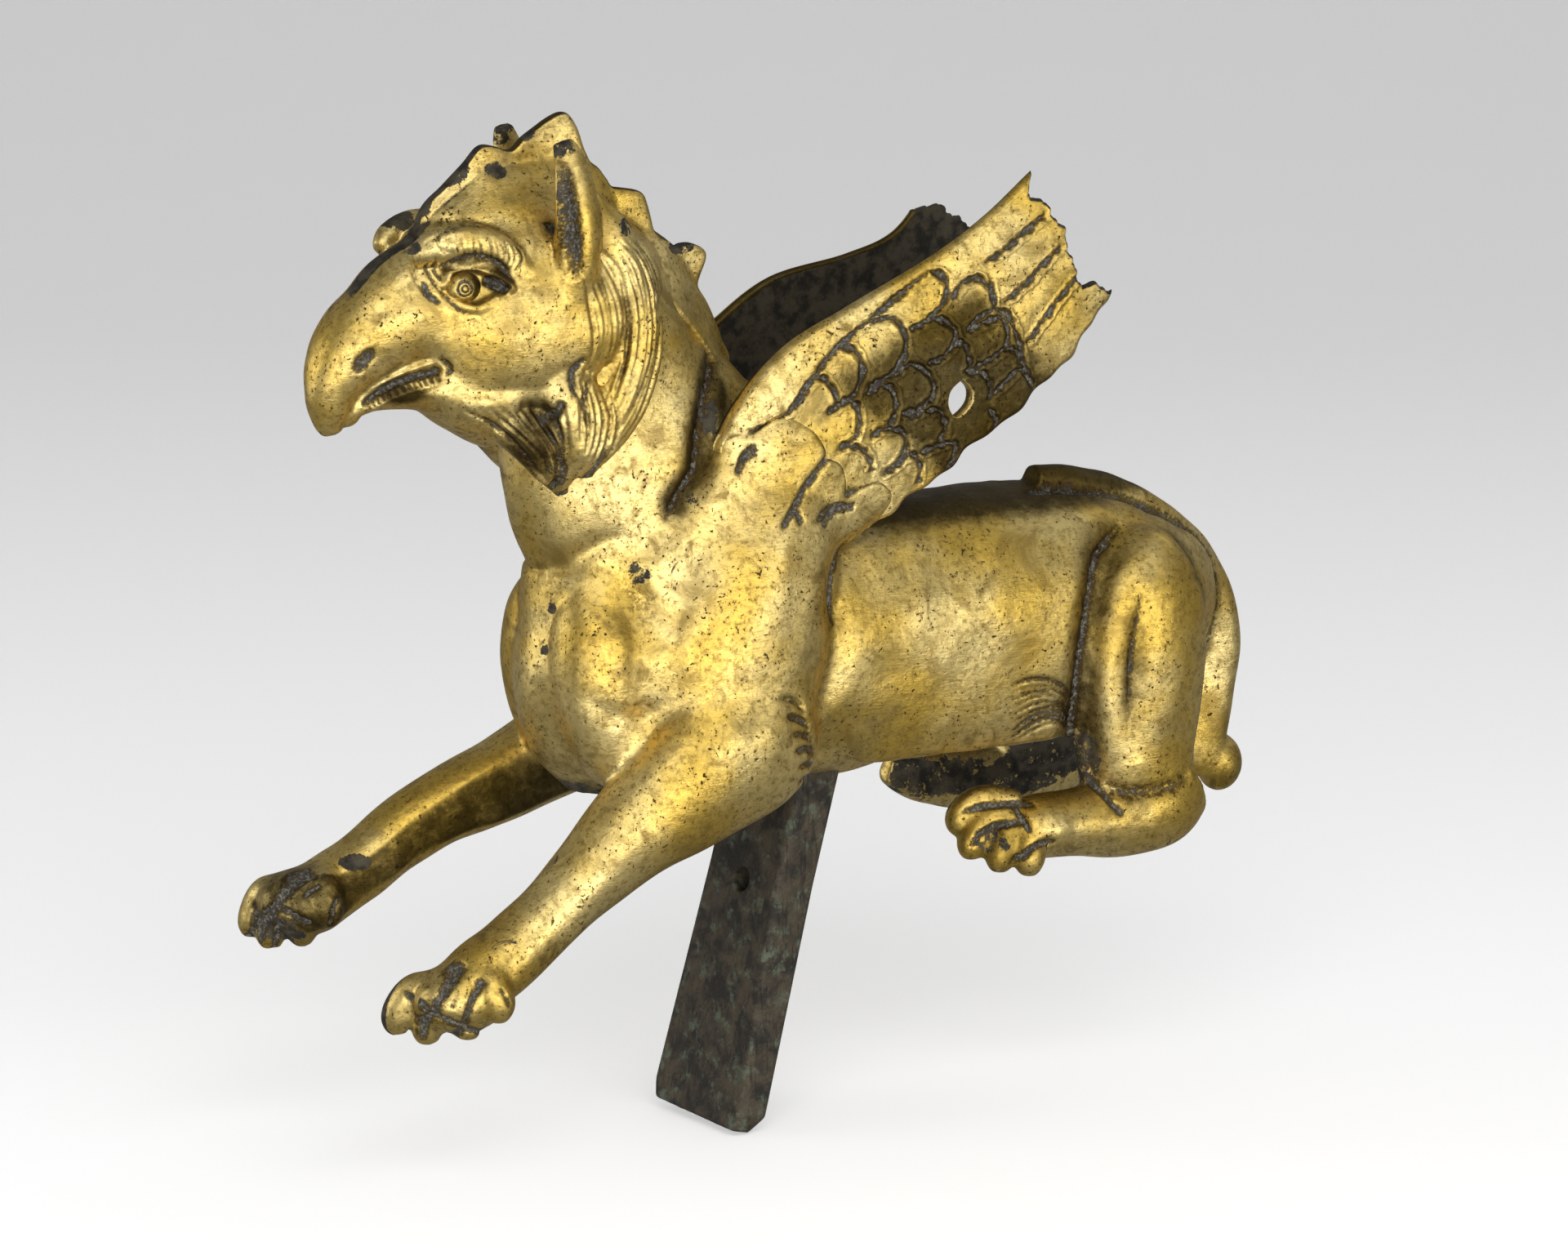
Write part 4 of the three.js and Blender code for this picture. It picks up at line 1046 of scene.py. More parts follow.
        # Darkens the top of the back
        clay.raise_mark(Mark.TARNISH_AND_SHADE, 0.95 * ramp(z, 58, 66) * ramp(x, 6, 20) * ramp(np.abs(y), 22, 16))
        clay.mark_spots(Mark.TARNISH_AND_SHADE, self.tarnish_and_shade_spots)
        clay.mark_spots(Mark.BARE, self.bare_spots)

    def creases(self) -> list[Stroke]:
        """Folds of the body, the same on both sides: soft valleys, some with a dark line at the bottom."""
        fold = [
            (88.5, 57.5), (82.3, 54.1), (77.1, 49.6), (73.4, 40.1), (71, 28), (70.6, 15), (72, 3), (76, -5),
        ]
        second = [(86, 45), (84.4, 38), (82.3, 29), (81.4, 20), (81.6, 10), (83, 0)]
        shoulder = [(7.9, 64.2), (1.4, 58), (-0.8, 50), (0.6, 42), (-0.9, 32.6), (-3.6, 24), (-9, 19)]
        nape = [(-20, 114), (-28, 102), (-32.4, 92), (-34.6, 84), (-39, 78.6), (-43, 72)]
        # The shade of the wide strokes is painted shade in the valleys.
        return [
            Stroke(fold, 1.7, 3.2, 0, 0.7, taper=0.15), Stroke(fold, 1.0, 1.0, 0.75, taper=0.12),
            Stroke(second, 1.6, 3.0, 0, 0.6, taper=0.4), Stroke(second[:-1], 0.5, 0.8, 0.6, taper=0.4),
            Stroke([(100, 58), (106, 48), (109.6, 34), (109.4, 20), (106.4, 6), (103, -4)], 0.8, 2.0, 0.15,
                   0.85, taper=0.2),
            Stroke([(74.5, -4.6), (80, -7.2), (87, -7.4), (94, -6.8), (100, -5)], 1.0, 1.6, 0.5, taper=0.2),
            Stroke(shoulder, 1.6, 3.6, 0, 0.35, taper=0.25), Stroke(shoulder[:4], 0.6, 0.9, 0.8, taper=0.3),
            Stroke(nape, 1.5, 2.4, 0, 0.9, taper=0.1), Stroke(nape, 0.6, 1.0, 0.65, taper=0.1),
            Stroke([(-28.5, 86), (-32, 78), (-38, 69), (-46, 62), (-49, 56)], -1.2, 3.0, 0, taper=0.35),
            Stroke([(-57, 64), (-53, 58), (-49, 50), (-48, 42)], 1.6, 3.6, 0.25, taper=0.4),
            Stroke([(-66, 60), (-60, 66), (-52, 70)], 0.8, 2.4, 0, taper=0.4),
            Stroke([(-66, 34), (-60, 28), (-52, 26), (-44, 28)], 0.8, 2.6, 0, taper=0.4),
            Stroke([(-18, 30), (-26, 26), (-33, 24)], 0.7, 2.4, 0, taper=0.4),
            Stroke([(12, 56), (24, 58), (40, 57)], -0.5, 4.0, 0, taper=0.5),
            Stroke([(6, 34), (16, 30), (28, 30)], 0.5, 4.0, 0, taper=0.5),
            Stroke([(-6, 69.4), (-2, 72), (4, 72.6)], 0.6, 0.7, 0.9, taper=0.2),
            Stroke([(-25, 84.6), (-23.4, 87.4), (-20, 89)], 0.6, 0.8, 1.0, taper=0.2),
            *comb([(50, 22), (57, 23), (65, 21), (70, 15)], [(52, 6), (60, 10), (67, 10), (71, 5)], 9,
                  Stroke([], 0.5, 0.6, 0.7)),
            *comb([(-19, 29), (-14, 27), (-11, 24)], [(-13, 6), (-9, 7), (-5, 5)], 6,
                  Stroke([], 1.2, 0.9, 0.7)),
        ]

    def hind_strokes(self) -> list[Stroke]:
        """Toes and folds of the hind foot."""
        return [
            Stroke([(39.4, -10), (43.9, -8.4), (49, -7.8), (56.5, -8.2)], 0.8, 0.7, 1.0),
            Stroke([(39.8, -18), (42.5, -14.4), (47, -12.4), (53, -11.4)], 0.9, 0.7, 1.0),
            Stroke([(51.4, -7.1), (51.8, -10.8), (52.4, -14.4)], 0.7, 0.6, 1.0),
            Stroke([(47.6, -22.4), (50, -19.7), (53.2, -17), (59, -16.6)], 0.9, 0.7, 1.0),
            Stroke([(74, -3), (74.8, -6.6), (77, -10.6), (79, -12.6)], 0.8, 0.9, 1.0),
        ]

    def near_paw_strokes(self) -> list[Stroke]:
        """Toe and knuckle grooves of the near forepaw."""
        return [
            Stroke([(-99.6, -28.6), (-103.4, -34.8), (-104.5, -40.6), (-105.6, -45)], 0.9, 0.75, 1.0,
                   taper=0.1),
            Stroke([(-101.6, -26), (-106.1, -29.5), (-109.9, -33.4), (-111.4, -38.5), (-111.4, -45)],
                   0.9, 0.75, 1.0, taper=0.1),
            Stroke([(-111.6, -36.6), (-110, -37.4), (-107.2, -39), (-105, -40.2)], 0.8, 0.7, 1.0, taper=0.15),
            Stroke([(-104.4, -40.6), (-101.5, -41.7), (-98, -42.8)], 0.8, 0.7, 1.0, taper=0.15),
            Stroke([(-114, -33.2), (-112.4, -35), (-111.6, -37.4)], 0.7, 0.6, 1.0),
            Stroke([(-97, -30.6), (-95.6, -33.4), (-94.6, -36)], 0.4, 0.5, 0.7),
            Stroke([(-106.6, -33), (-107.6, -35.4)], 0.4, 0.5, 0.6),
        ]

    def far_paw_strokes(self) -> list[Stroke]:
        """Toe and knuckle grooves of the far forepaw, on the side that faces its fellow."""
        return [
            Stroke([(-117, -12.6), (-123.5, -15.9), (-127.7, -20.6), (-128.8, -27.5), (-129.3, -33)],
                   0.9, 0.8, 1.0, taper=0.1),
            Stroke([(-127, -20.3), (-124.3, -22.5), (-119.8, -25.3)], 0.8, 0.7, 1.0, taper=0.15),
            Stroke([(-126.6, -23.5), (-125.7, -29.8), (-125.4, -33.6)], 0.8, 0.7, 1.0, taper=0.1),
            Stroke([(-122.2, -18.5), (-119.6, -16.4), (-117.5, -15.4)], 0.5, 0.5, 0.8),
            Stroke([(-113.7, -18), (-115.8, -21.1), (-116.3, -26.1)], 0.7, 0.6, 1.0),
        ]

    def build(self, material: bpy.types.Material) -> bpy.types.Object:
        """The dressed body."""
        forms = [
            self.trunk(), self.neck(), *both_sides(self.pectoral), *both_sides(self.shoulder),
            *both_sides(self.thigh), *both_sides(self.rump), *self.forelegs(), *self.hind_feet(),
            *self.tail(), self.chest_fill(), self.wing_root(NEAR_WING), self.wing_root(FAR_WING),
        ]
        piece = mesh_piece("griffin_body", forms)
        remesh(piece, self.voxel)
        clay = Clay(piece)
        self.soften(clay)
        self.sculpt(clay)
        clay.finish()
        cut(piece, self.hollow())
        decimate(piece, self.triangles)
        dress(piece, material, GILDED_SLOT, "griffin")
        return piece


@dataclass
class Head:
    """Skull, beak, crest, ears and mane as one carved surface, set into the neck."""

    voxel: float = 0.42
    triangles: int = 190_000
    blends: tuple[tuple[Point, Point], ...] = (
        ((-88, 13, 146.4), (15, 10, 6.4)), ((-98, 8, 116), (16, 14, 10)), ((-84, 14, 108), (14, 12, 9)),
        ((-66, 16, 131), (9, 9, 7)), ((-74, 10, 146), (14, 10, 8)), ((-46, 14, 112), (9, 12, 34)),
    )
    bare_spots: tuple[Spot, ...] = (
        ((-90, -6, 157), (9, 16, 6), 0.9), ((-97, 6, 150), (7, 14, 7), 1.0),
        ((-104, -9, 141.5), (4, 6, 2.6), 0.9), ((-30, 0, 134), (9, 6, 3), 0.8),
        ((-78, -6, 157), (5, 9, 3.4), 0.8), ((-69, 0, 165), (4, 10, 4), 0.7),
        ((-52, -14, 143), (6, 10, 5), 0.6), ((-97, 11, 144), (8, 6, 4), 0.95),
    )
    # Painted shade behind the eyes, in the mouth and under the jaw, on both sides
    paired_shade_spots: tuple[Spot, ...] = (
        ((-105.5, 8, 106.6), (9, 9, 3.4), 0.9), ((-84.5, 16, 133), (5, 6, 4), 1.0),
        ((-73, 12, 95), (13, 10, 14), 0.8),
    )
    paired_bare_spots: tuple[Spot, ...] = (
        ((-72, 12, 98), (5, 8, 5), 0.55), ((-52.6, 16, 136), (3.4, 6, 4), 0.6),
        ((-66.8, 15, 163), (5, 6, 6), 0.7),
    )

    def skull(self) -> list[Form]:
        """Head and jaw."""
        return [
            Form.loft([
                (-120, 0, 97.6, 2, 2.6, 2), (-121, 0, 102, 4.4, 4.6, 4.6), (-120.3, 0, 109.5, 7, 6.6, 7.8),
                (-115.8, 0, 117, 9, 9, 12), (-108, 0, 122.5, 10.5, 11.5, 13.5),
                (-99, 0, 125.6, 12.5, 16, 15.5), (-87, 0, 124, 16.5, 23.5, 24, 2.2),
                (-73, 0, 122, 19, 28, 27, 2.2), (-58.5, 0, 122, 20, 27, 24), (-46.5, 0, 122, 18.5, 21, 20),
                (-38.5, 0, 120, 12, 12, 13),
            ], 64),
            Form.loft([
                (-116.5, 0, 101.6, 3, 4, 1.6), (-112.5, 0, 104.2, 4.4, 5.5, 2.8),
                (-106, 0, 106.5, 7.2, 9, 4.6), (-98, 0, 107.5, 10.8, 10, 6.5), (-88, 0, 106, 14, 12, 11),
                (-78, 0, 104, 15, 12, 14),
            ]),
            Form.ball((-116.5, 0, 102.6), (4, 3.4, 3.8)),
            Form.loft([(*station, 1.15) for station in (
                (-101, 0, 136, 9, 4, 4), (-92, 0, 138, 13.5, 12, 6), (-82, 0, 138, 15.5, 20, 6),
                (-70, 0, 138, 16, 22, 6), (-59, 0, 137, 11, 22, 6), (-50, 0, 132, 10, 13, 6),
                (-40, 0, 126, 13, 14, 6), (-30, 0, 116, 12, 11, 6), (-22, 0, 106, 9, 8, 5),
            )], 48),
        ]

    def crest(self) -> Form:
        """The spiked comb from the brow down the neck."""
        edge = 1.8
        root = edge + 6
        rim = [
            (-101, 139.5), (-96, 149), (-91, 153.3), (-85.5, 158), (-81.2, 162.2), (-77, 161.8), (-73, 160.8),
            (-69.4, 163.8), (-63, 167.6), (-58.5, 168.8), (-56, 166), (-53.5, 159.5), (-48.8, 151.2),
            (-43.5, 149.6), (-38.3, 148.2), (-36.5, 145.5), (-34.6, 138), (-33.3, 134.6), (-29, 133.9),
            (-24.5, 134.6), (-20.4, 132), (-22.3, 126.5), (-23.6, 121), (-22.6, 117.4), (-19.5, 114.5),
            (-14, 105),
        ]
        base = [(-28, 98), (-40, 114), (-54, 132), (-74, 140), (-92, 134)]
        return Form.tapered_plate([(*p, edge) for p in rim] + [(*p, root) for p in base])

    def brow(self, side: int) -> Form:
        """The flap over the eye."""
        return Form.loft([
            (-103, side * 8, 138.5, 2, 2, 3), (-99.5, side * 10.4, 140.8, 3, 3.6, 4.2),
            (-94, side * 11.6, 142.2, 3.7, 4.6, 4.8), (-87, side * 12.6, 141.8, 3.7, 4.6, 4.8),
            (-80.5, side * 14, 138.4, 2.8, 3.8, 4.2), (-76, side * 15.6, 134, 1.6, 2.2, 2.4),
        ])

    def face_strokes(self) -> list[Stroke]:
        """Lids, mouth, nostril and the lines round the eye, drawn in the X-Z plane."""
        lid_line = [(-96.4, 134), (-95.6, 137.2), (-91.6, 138.8), (-87, 138.2), (-83, 135.6), (-79.9, 131.4)]
        slit = [(-114, 104), (-112, 106), (-108.9, 108.2), (-104.5, 110.2), (-101, 111.1), (-96.5, 112.2)]
        below = [(x + 0.8, z - 2.6) for x, z in slit]
        gaps = zip(curve(slit, 3)[2:-1], curve(below, 3)[2:-1])
        teeth = [Stroke([tuple(start), tuple(end)], 0.5, 0.35, 0.5, taper=0.1) for start, end in gaps]
        return [
            # The lid line carries painted shade under the brow.
            Stroke(lid_line, 1.0, 0.75, 0.7, 0.6, taper=0.2),
            Stroke([(-96.4, 131.2), (-95, 135), (-91.4, 136.7), (-87.3, 136), (-83.4, 133.4), (-80.8, 130.2)],
                   -2.0, 1.0, 0, taper=0.1),
            Stroke([(-96.2, 130.6), (-93.6, 127.8), (-90.2, 126.7), (-87.4, 127.4), (-84, 129.6)], -1.2,
                   0.8, 0),
            Stroke([(-87, 133.4), (-84.6, 131.9), (-82.4, 130.4)], 1.4, 1.2, 1.0),
            Stroke([(-97.2, 132.6), (-96.2, 129.6), (-93.4, 126.4), (-89.6, 125.4)], 0.35, 0.5, 0.5),
            Stroke([(-101, 133.7), (-100.6, 130.6), (-97.7, 128.2)], 0.7, 0.7, 0.9),
            Stroke([(-100.8, 138.2), (-99.1, 133.8), (-96.8, 130)], 0.4, 0.45, 0.5),
            Stroke([(-99.6, 139.4), (-98, 135.5), (-96.8, 132.7)], 0.4, 0.45, 0.5),
            Stroke([(-103, 137), (-102.6, 133.5), (-101, 130.5)], 0.35, 0.45, 0.3),
            Stroke([(-102.8, 139.6), (-101.9, 141.8), (-96.9, 145.4), (-89, 146.4), (-83, 144.8),
                    (-78.6, 141.2), (-76, 136)], 0.35, 0.8, 0.25, taper=0.2),
            Stroke([(-112.8, 117.6), (-115, 116.6), (-116.6, 114.6), (-117.2, 112.6)], 0.9, 1.5, 1.0,
                   taper=0.35),
            Stroke(slit, 1.5, 0.8, 1.0, taper=0.12),
            Stroke([(-112.6, 107.2), (-109.8, 109.6), (-105, 111.9), (-99.4, 113.6), (-97, 114.6)], -0.7,
                   0.8, 0),
            Stroke([(-97.6, 114.8), (-95.8, 113.8), (-95, 112), (-96, 110.4)], 0.5, 0.6, 0.6),
            Stroke(below, -0.5, 0.7, 0),
            *teeth,
            Stroke([(-96, 107.1), (-87.7, 106.4), (-78, 106.6), (-69, 105.6)], 0.5, 1.8, 0),
        ]

    def hair_strokes(self) -> list[Stroke]:
        """Brow hairs, mane and beard locks, drawn in the X-Z plane."""
        lock = Stroke([], 0.8, 0.55, 0.8)
        fine = Stroke([], 0.4, 0.36, 0.4)
        brow = comb([(-97, 139.6), (-99, 142.6), (-98, 145.4)],
                    [(-80.2, 134.6), (-78.4, 138), (-80.2, 141.6)], 15, fine)
        mane = comb([(-66, 136), (-63, 128.5), (-61, 118.6), (-62.4, 110.6), (-65.4, 106)],
                    [(-51, 142), (-45, 135), (-42.6, 124), (-43.8, 112), (-49, 99), (-56, 90)], 15,
                    replace(lock, depth=0.6, grime=0.22))
        ruff = comb([(-54, 140.4), (-48.6, 135), (-45.4, 127.7), (-46.7, 121)],
                    [(-50, 142), (-44, 136), (-41.4, 128), (-43.4, 120)], 4, fine)
        jowl = comb([(-66.3, 108.6), (-65.6, 103.9), (-65.2, 98.1), (-65, 92)],
                    [(-57, 106), (-55, 98), (-56, 91), (-60, 84)], 6, replace(lock, grime=0.4))
        beard = comb([(-92, 102.6), (-84, 97.5), (-76.5, 90), (-71.5, 82)],
                     [(-70, 104), (-68.6, 97), (-67.6, 90), (-68.6, 80)], 9, replace(lock, grime=0.6))
        # Curls, some with painted shade round them
        curls = [
            Stroke([(-71.2, 90.6), (-68.2, 87.4), (-68.2, 83.4), (-71.6, 79.4)], 1.0, 0.8, 0.7, 0.5),
            Stroke([(-69.4, 103.6), (-70.4, 101), (-71.8, 98.6)], 1.0, 0.9, 0.8, 0.5),
            Stroke([(-61.4, 108.4), (-64.6, 103), (-63, 95)], 0.8, 0.7, 0.5, 0.4),
            Stroke([(-62.6, 113.4), (-66.2, 110), (-66.6, 104)], 0.9, 0.8, 0.9),
            Stroke([(-71.5, 78.2), (-66, 80), (-60.8, 85.6), (-57.4, 92)], 1.0, 1.0, 0.8),
            Stroke([(-53.4, 130), (-51.6, 122), (-52.4, 113), (-56, 103)], 0.8, 0.7, 0.4, 0.3),
        ]
        return [*brow, *mane, *ruff, *jowl, *beard, *curls]

    def ear_strokes(self) -> list[Stroke]:
        """The bowl of the ear with its ribs."""
        bowl = [(-68.2, 160), (-68.4, 153), (-67.8, 146.4), (-67.2, 140), (-66.2, 132)]
        ribs = [Stroke([(-70, z), (-66, z + 1.4)], -0.8, 0.4, 0, taper=0.3) for z in range(140, 156, 2)]
        return [Stroke(bowl, 2.6, 1.9, 1.0, taper=0.3), *ribs]

    def ear(self, side: int) -> Form:
        """The upright leaf of an ear."""
        return Form.loft([
            (-65, side * 15.5, 128, 4.6, 5, 5.5), (-64.5, side * 17.5, 138, 4.8, 5.6, 6),
            (-64.5, side * 17.4, 149, 4.2, 5.2, 5.6), (-65.3, side * 16.2, 158, 3, 4, 4.2),
            (-66.8, side * 15, 164.2, 1.8, 2.4, 2.4),
        ])

    def mane(self, side: int) -> list[Form]:
        """The collar behind the cheek and the beard that lies on the throat."""
        return [
            Form.loft([
                (-60, side * 13, 150, 3.6, 3.5, 3.5), (-53, side * 15.2, 139, 4, 5.5, 5.5),
                (-48.5, side * 16.2, 124, 4.2, 6.5, 6), (-49, side * 16.4, 109, 4.4, 7, 6.4),
                (-55, side * 16, 97, 4.8, 6.4, 6.4), (-62, side * 14.5, 88, 4, 4.6, 4.6),
            ]),
            Form.loft([
                (-87, side * 5, 101.5, 4, 4, 4), (-79, side * 8, 98.5, 6, 6, 6),
                (-72, side * 10.5, 93, 6.5, 7, 6.5), (-67.5, side * 11.5, 86, 5.5, 5.5, 5),
                (-65, side * 11.5, 79.5, 2.4, 2.6, 2.4),
            ]),
            Form.loft([
                (-70, side * 12, 110, 5, 6, 6), (-64, side * 15, 101.5, 6, 8, 8),
                (-62, side * 15.6, 92, 5, 7, 7), (-62.5, side * 14.5, 84, 2.6, 3.4, 3.4),
            ]),
            Form.ball((-67, side * 12, 94), (7, 6.5, 11)),
        ]

    def build(self, material: bpy.types.Material) -> bpy.types.Object:
        """The dressed head."""
        forms = [*self.skull(), self.crest(), *both_sides(self.brow), *both_sides(self.ear),
                 *self.mane(NEAR), *self.mane(FAR)]
        piece = mesh_piece("griffin_head", forms)
        remesh(piece, self.voxel)
        clay = Clay(piece)
        clay.relax(10)
        clay.melt(self.blends, 60)
        clay.wobble(0.18, (7, 24), 5)
        for side in (NEAR, FAR):
            clay.push(-2.2 * clay.near((-90, side * 14, 131.8), (8.8, 9, 6.4)))
        clay.refresh()
        for side in (NEAR, FAR):
            clay.carve([*self.face_strokes(), *self.hair_strokes()], side)
            clay.carve(self.ear_strokes(), side, 12)
        clay.relax(1, 0.3)
        clay.refresh()
        clay.crevices(Mark.GRIME, 12, 0.6, 0.2)
        # Painted shade: the broad hollows darken by their depth
        clay.crevices(Mark.TARNISH_AND_SHADE, 90, 0.6, 0.25)
        x, y, z = clay.co.T
        rim = ramp(np.abs(y), 3.6, 2.2) * ramp(np.abs(clay.normals[:, 1]), 0.85, 0.5) * ramp(z, 126, 134)
        clay.raise_mark(Mark.BARE, rim * ramp(x, -76, -84))
        clay.raise_mark(Mark.TARNISH_AND_SHADE, 0.9 * rim)
        clay.mark_spots(Mark.BARE, self.bare_spots)
        clay.mark_spots(Mark.TARNISH_AND_SHADE, self.paired_shade_spots, paired=True)
        clay.mark_spots(Mark.BARE, self.paired_bare_spots, paired=True)
        clay.finish()
        decimate(piece, self.triangles)
        dress(piece, material, GILDED_SLOT)
        return piece


@dataclass
class Eye:
    """An eyeball with an engraved iris and pupil, in figure millimetres."""

    name: str
    side: int
    centre: Point = (-91.4, 11.7, 131.3)
    radii: Point = (4.4, 3.0, 3.8)
    gaze: Point = (-0.9, 0.2)  # middle of the iris, from the middle of the ball
    iris: Point = (1.8, 0.24, 0.26)  # radius, half width and depth of the ring
    pupil: Point = (0.8, 0.22, 0.22)

    def build(self, material: bpy.types.Material) -> bpy.types.Object:
        """The dressed eye."""
        bpy.ops.mesh.primitive_uv_sphere_add(segments=96, ring_count=64, radius=1)
        piece = bpy.context.object
        piece.name = self.name
        ball = read_points(piece.data)
        off_axis = np.linalg.norm((ball * self.radii)[:, [0, 2]] - np.array(self.gaze), axis=1)
        rings = np.zeros(len(ball))
        sunk = np.zeros(len(ball))
        for radius, width, depth in (self.iris, self.pupil):
            ring = fade(off_axis - radius, width) * (self.side * ball[:, 1] > 0)
            rings += ring
            sunk += depth * ring
        x, y, z = self.centre
        shrink = 1 - sunk / self.radii[1]
        points = ball * self.radii * shrink[:, None] + np.array([x, self.side * y, z])
        write_points(piece.data, (points + SEAT) * MM)
        # Painted shade on the ball, deepest towards its back under the brow
        shade = 0.35 + 0.6 * ramp(ball[:, 0], 0.0, 0.6)
        write_marks(piece.data, {Mark.GRIME: rings, Mark.TARNISH_AND_SHADE: shade})
        dress(piece, material, GILDED_SLOT)
        return piece


@dataclass
class Tang:
    """The bare bar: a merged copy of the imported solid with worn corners."""

    voxel: float = 0.5
    weld: float = 0.01  # points this near each other are joined
    rounding: int = 6  # rounds of smoothing that wear the corners

    def build(self, material: bpy.types.Material) -> bpy.types.Object:
        """The dressed tang."""
        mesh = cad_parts["tang"].data.copy()
        piece = bpy.data.objects.new("tang_bar", mesh)
        bpy.context.scene.collection.objects.link(piece)
        outward(piece, self.weld)
        remesh(piece, self.voxel)
        clay = Clay(piece)
        clay.relax(self.rounding)
        clay.finish()
        dress(piece, material, BARE_SLOT, "tang")
        return piece


def bearing(azimuth: float, elevation: float) -> Vector:
    """Direction from the object to a place seen from it at the angles in degrees."""
    a, e = math.radians(azimuth), math.radians(elevation)
    return Vector((math.sin(a) * math.cos(e), -math.cos(a) * math.cos(e), math.sin(e)))


@dataclass(frozen=True)
class Softbox:
    """A soft light, at angles in degrees and some metres away from what it is turned to."""

    name: str
    azimuth: float
    elevation: float
    away: float
    size: Point
    power: float

    def build(self, target: Point) -> None:
        """Adds the light."""
        out = bearing(self.azimuth, self.elevation)
        place = Vector(target) + out * self.away
        turn = out.to_track_quat("Z", "Y").to_euler()
        bpy.ops.object.light_add(type="AREA", location=place, rotation=turn)
        light = bpy.context.object
        light.name = self.name
        light.data.shape = "RECTANGLE"
        light.data.size, light.data.size_y = self.size
        light.data.energy = self.power


@dataclass
class Studio:
    """Pale sweep, soft lights and the camera of the photograph, in metres and degrees."""

    azimuth: float = -30.0
    elevation: float = 13.0
    distance: float = 1.5
    target: Point = (0.0236, 0.0, 0.1204)
    lens: float = 140.6
    sensor: float = 36.0
    floor_level: float = -0.0014
    sweep_width: float = 8.0
    sweep_length: float = 6.0
    sweep_front: float = 2.0  # part of the length before the object
    sweep_bend: float = 1.1  # where the floor starts to rise behind it, and how round
    sweep_radius: float = 0.9
    paper: str = "F2F2F2"
    glow: str = "FFFFFF"
    near_glow: float = 0.42
    far_glow: float = 0.095
    near_depth: float = -0.1  # places behind the object between which the glow falls
    far_depth: float = 1.9
    air: str = "C9C9C9"
    air_strength: float = 0.42
    lights: tuple[Softbox, ...] = (
        Softbox("key_softbox", -30, 42, 1.3, (0.8, 0.6), 4.1),
        Softbox("side_softbox", 10, 42, 1.3, (0.7, 0.6), 2.2),
        Softbox("face_softbox", -115, 10, 1.3, (0.7, 0.6), 3.6),
        Softbox("rear_softbox", 90, 42, 1.3, (0.7, 0.6), 0.8),
        Softbox("low_card", -15, -1.5, 0.9, (2.0, 0.2), 9),
    )

    def build(self) -> None:
        """Sets the stage."""
        self.add_camera()
        self.add_floor()
        self.add_lights()

    def add_camera(self) -> None:
        """The camera at the photograph's viewing angle."""
        back = bearing(self.azimuth, self.elevation)
        place = Vector(self.target) + back * self.distance
        bpy.ops.object.camera_add(location=place, rotation=back.to_track_quat("Z", "Y").to_euler())
        camera = bpy.context.object
        camera.name = "photo_camera"
        camera.data.lens = self.lens
        camera.data.sensor_width = self.sensor
        camera.data.clip_end = 20
        bpy.context.scene.camera = camera

    def add_floor(self) -> None:
        """A pale floor that sweeps up behind the object."""
        bpy.ops.mesh.primitive_grid_add(x_subdivisions=2, y_subdivisions=64, size=1)
        floor = bpy.context.object
        floor.name = "studio_sweep"
        a = math.radians(self.azimuth)
        away = np.array([-math.sin(a), math.cos(a)])
        right = np.array([math.cos(a), math.sin(a)])
        co = read_points(floor.data)
        length = (co[:, 1] + 0.5) * self.sweep_length - self.sweep_front
        bend, radius = self.sweep_bend, self.sweep_radius
        turn = np.clip((length - bend) / radius, 0, math.pi / 2)
        deep = np.minimum(length, bend) + radius * np.sin(turn)
        high = radius * (1 - np.cos(turn)) + np.maximum(length - bend - radius * math.pi / 2, 0)
        flat = co[:, :1] * self.sweep_width * right + deep[:, None] * away
        write_points(floor.data, np.c_[flat, self.floor_level + high])
        floor.data.materials.append(self.paper_material(away))
        activate(floor)
        bpy.ops.object.shade_smooth()
        floor.visible_glossy = False  # the bronze was photographed among dark surroundings

    def paper_material(self, away: np.ndarray) -> bpy.types.Material:
        """Paper with painted light: a glow that fades away from the camera, as lit paper does."""
        p = Paint("pale_paper_painted_glow")
        depth = p.add("ShaderNodeVectorMath", operation="DOT_PRODUCT", _0=p.place, _1=(*away, 0.0))
        glow = p.add("ShaderNodeMapRange", Value=depth.outputs["Value"], From_Min=self.near_depth / MM,
                     From_Max=self.far_depth / MM, To_Min=self.near_glow, To_Max=self.far_glow)
        shader = p.add("ShaderNodeBsdfPrincipled", Base_Color=srgb(self.paper), Roughness=0.9,
                       Specular_IOR_Level=0.1, Emission_Color=srgb(self.glow),
                       Emission_Strength=glow.outputs["Result"])
        p.add("ShaderNodeOutputMaterial", Surface=shader.outputs[0])
        return p.material

    def add_lights(self) -> None:
        """Soft light, most of it from the camera's side, so that forms darken towards their outlines."""
        for light in self.lights:
            light.build(self.target)
        world = bpy.data.worlds.new("studio_air")
        bpy.context.scene.world = world
        world.use_nodes = True
        background = world.node_tree.nodes["Background"]
        background.inputs["Color"].default_value = srgb(self.air)
        background.inputs["Strength"].default_value = self.air_strength
        bpy.context.scene.view_settings.view_transform = "Standard"


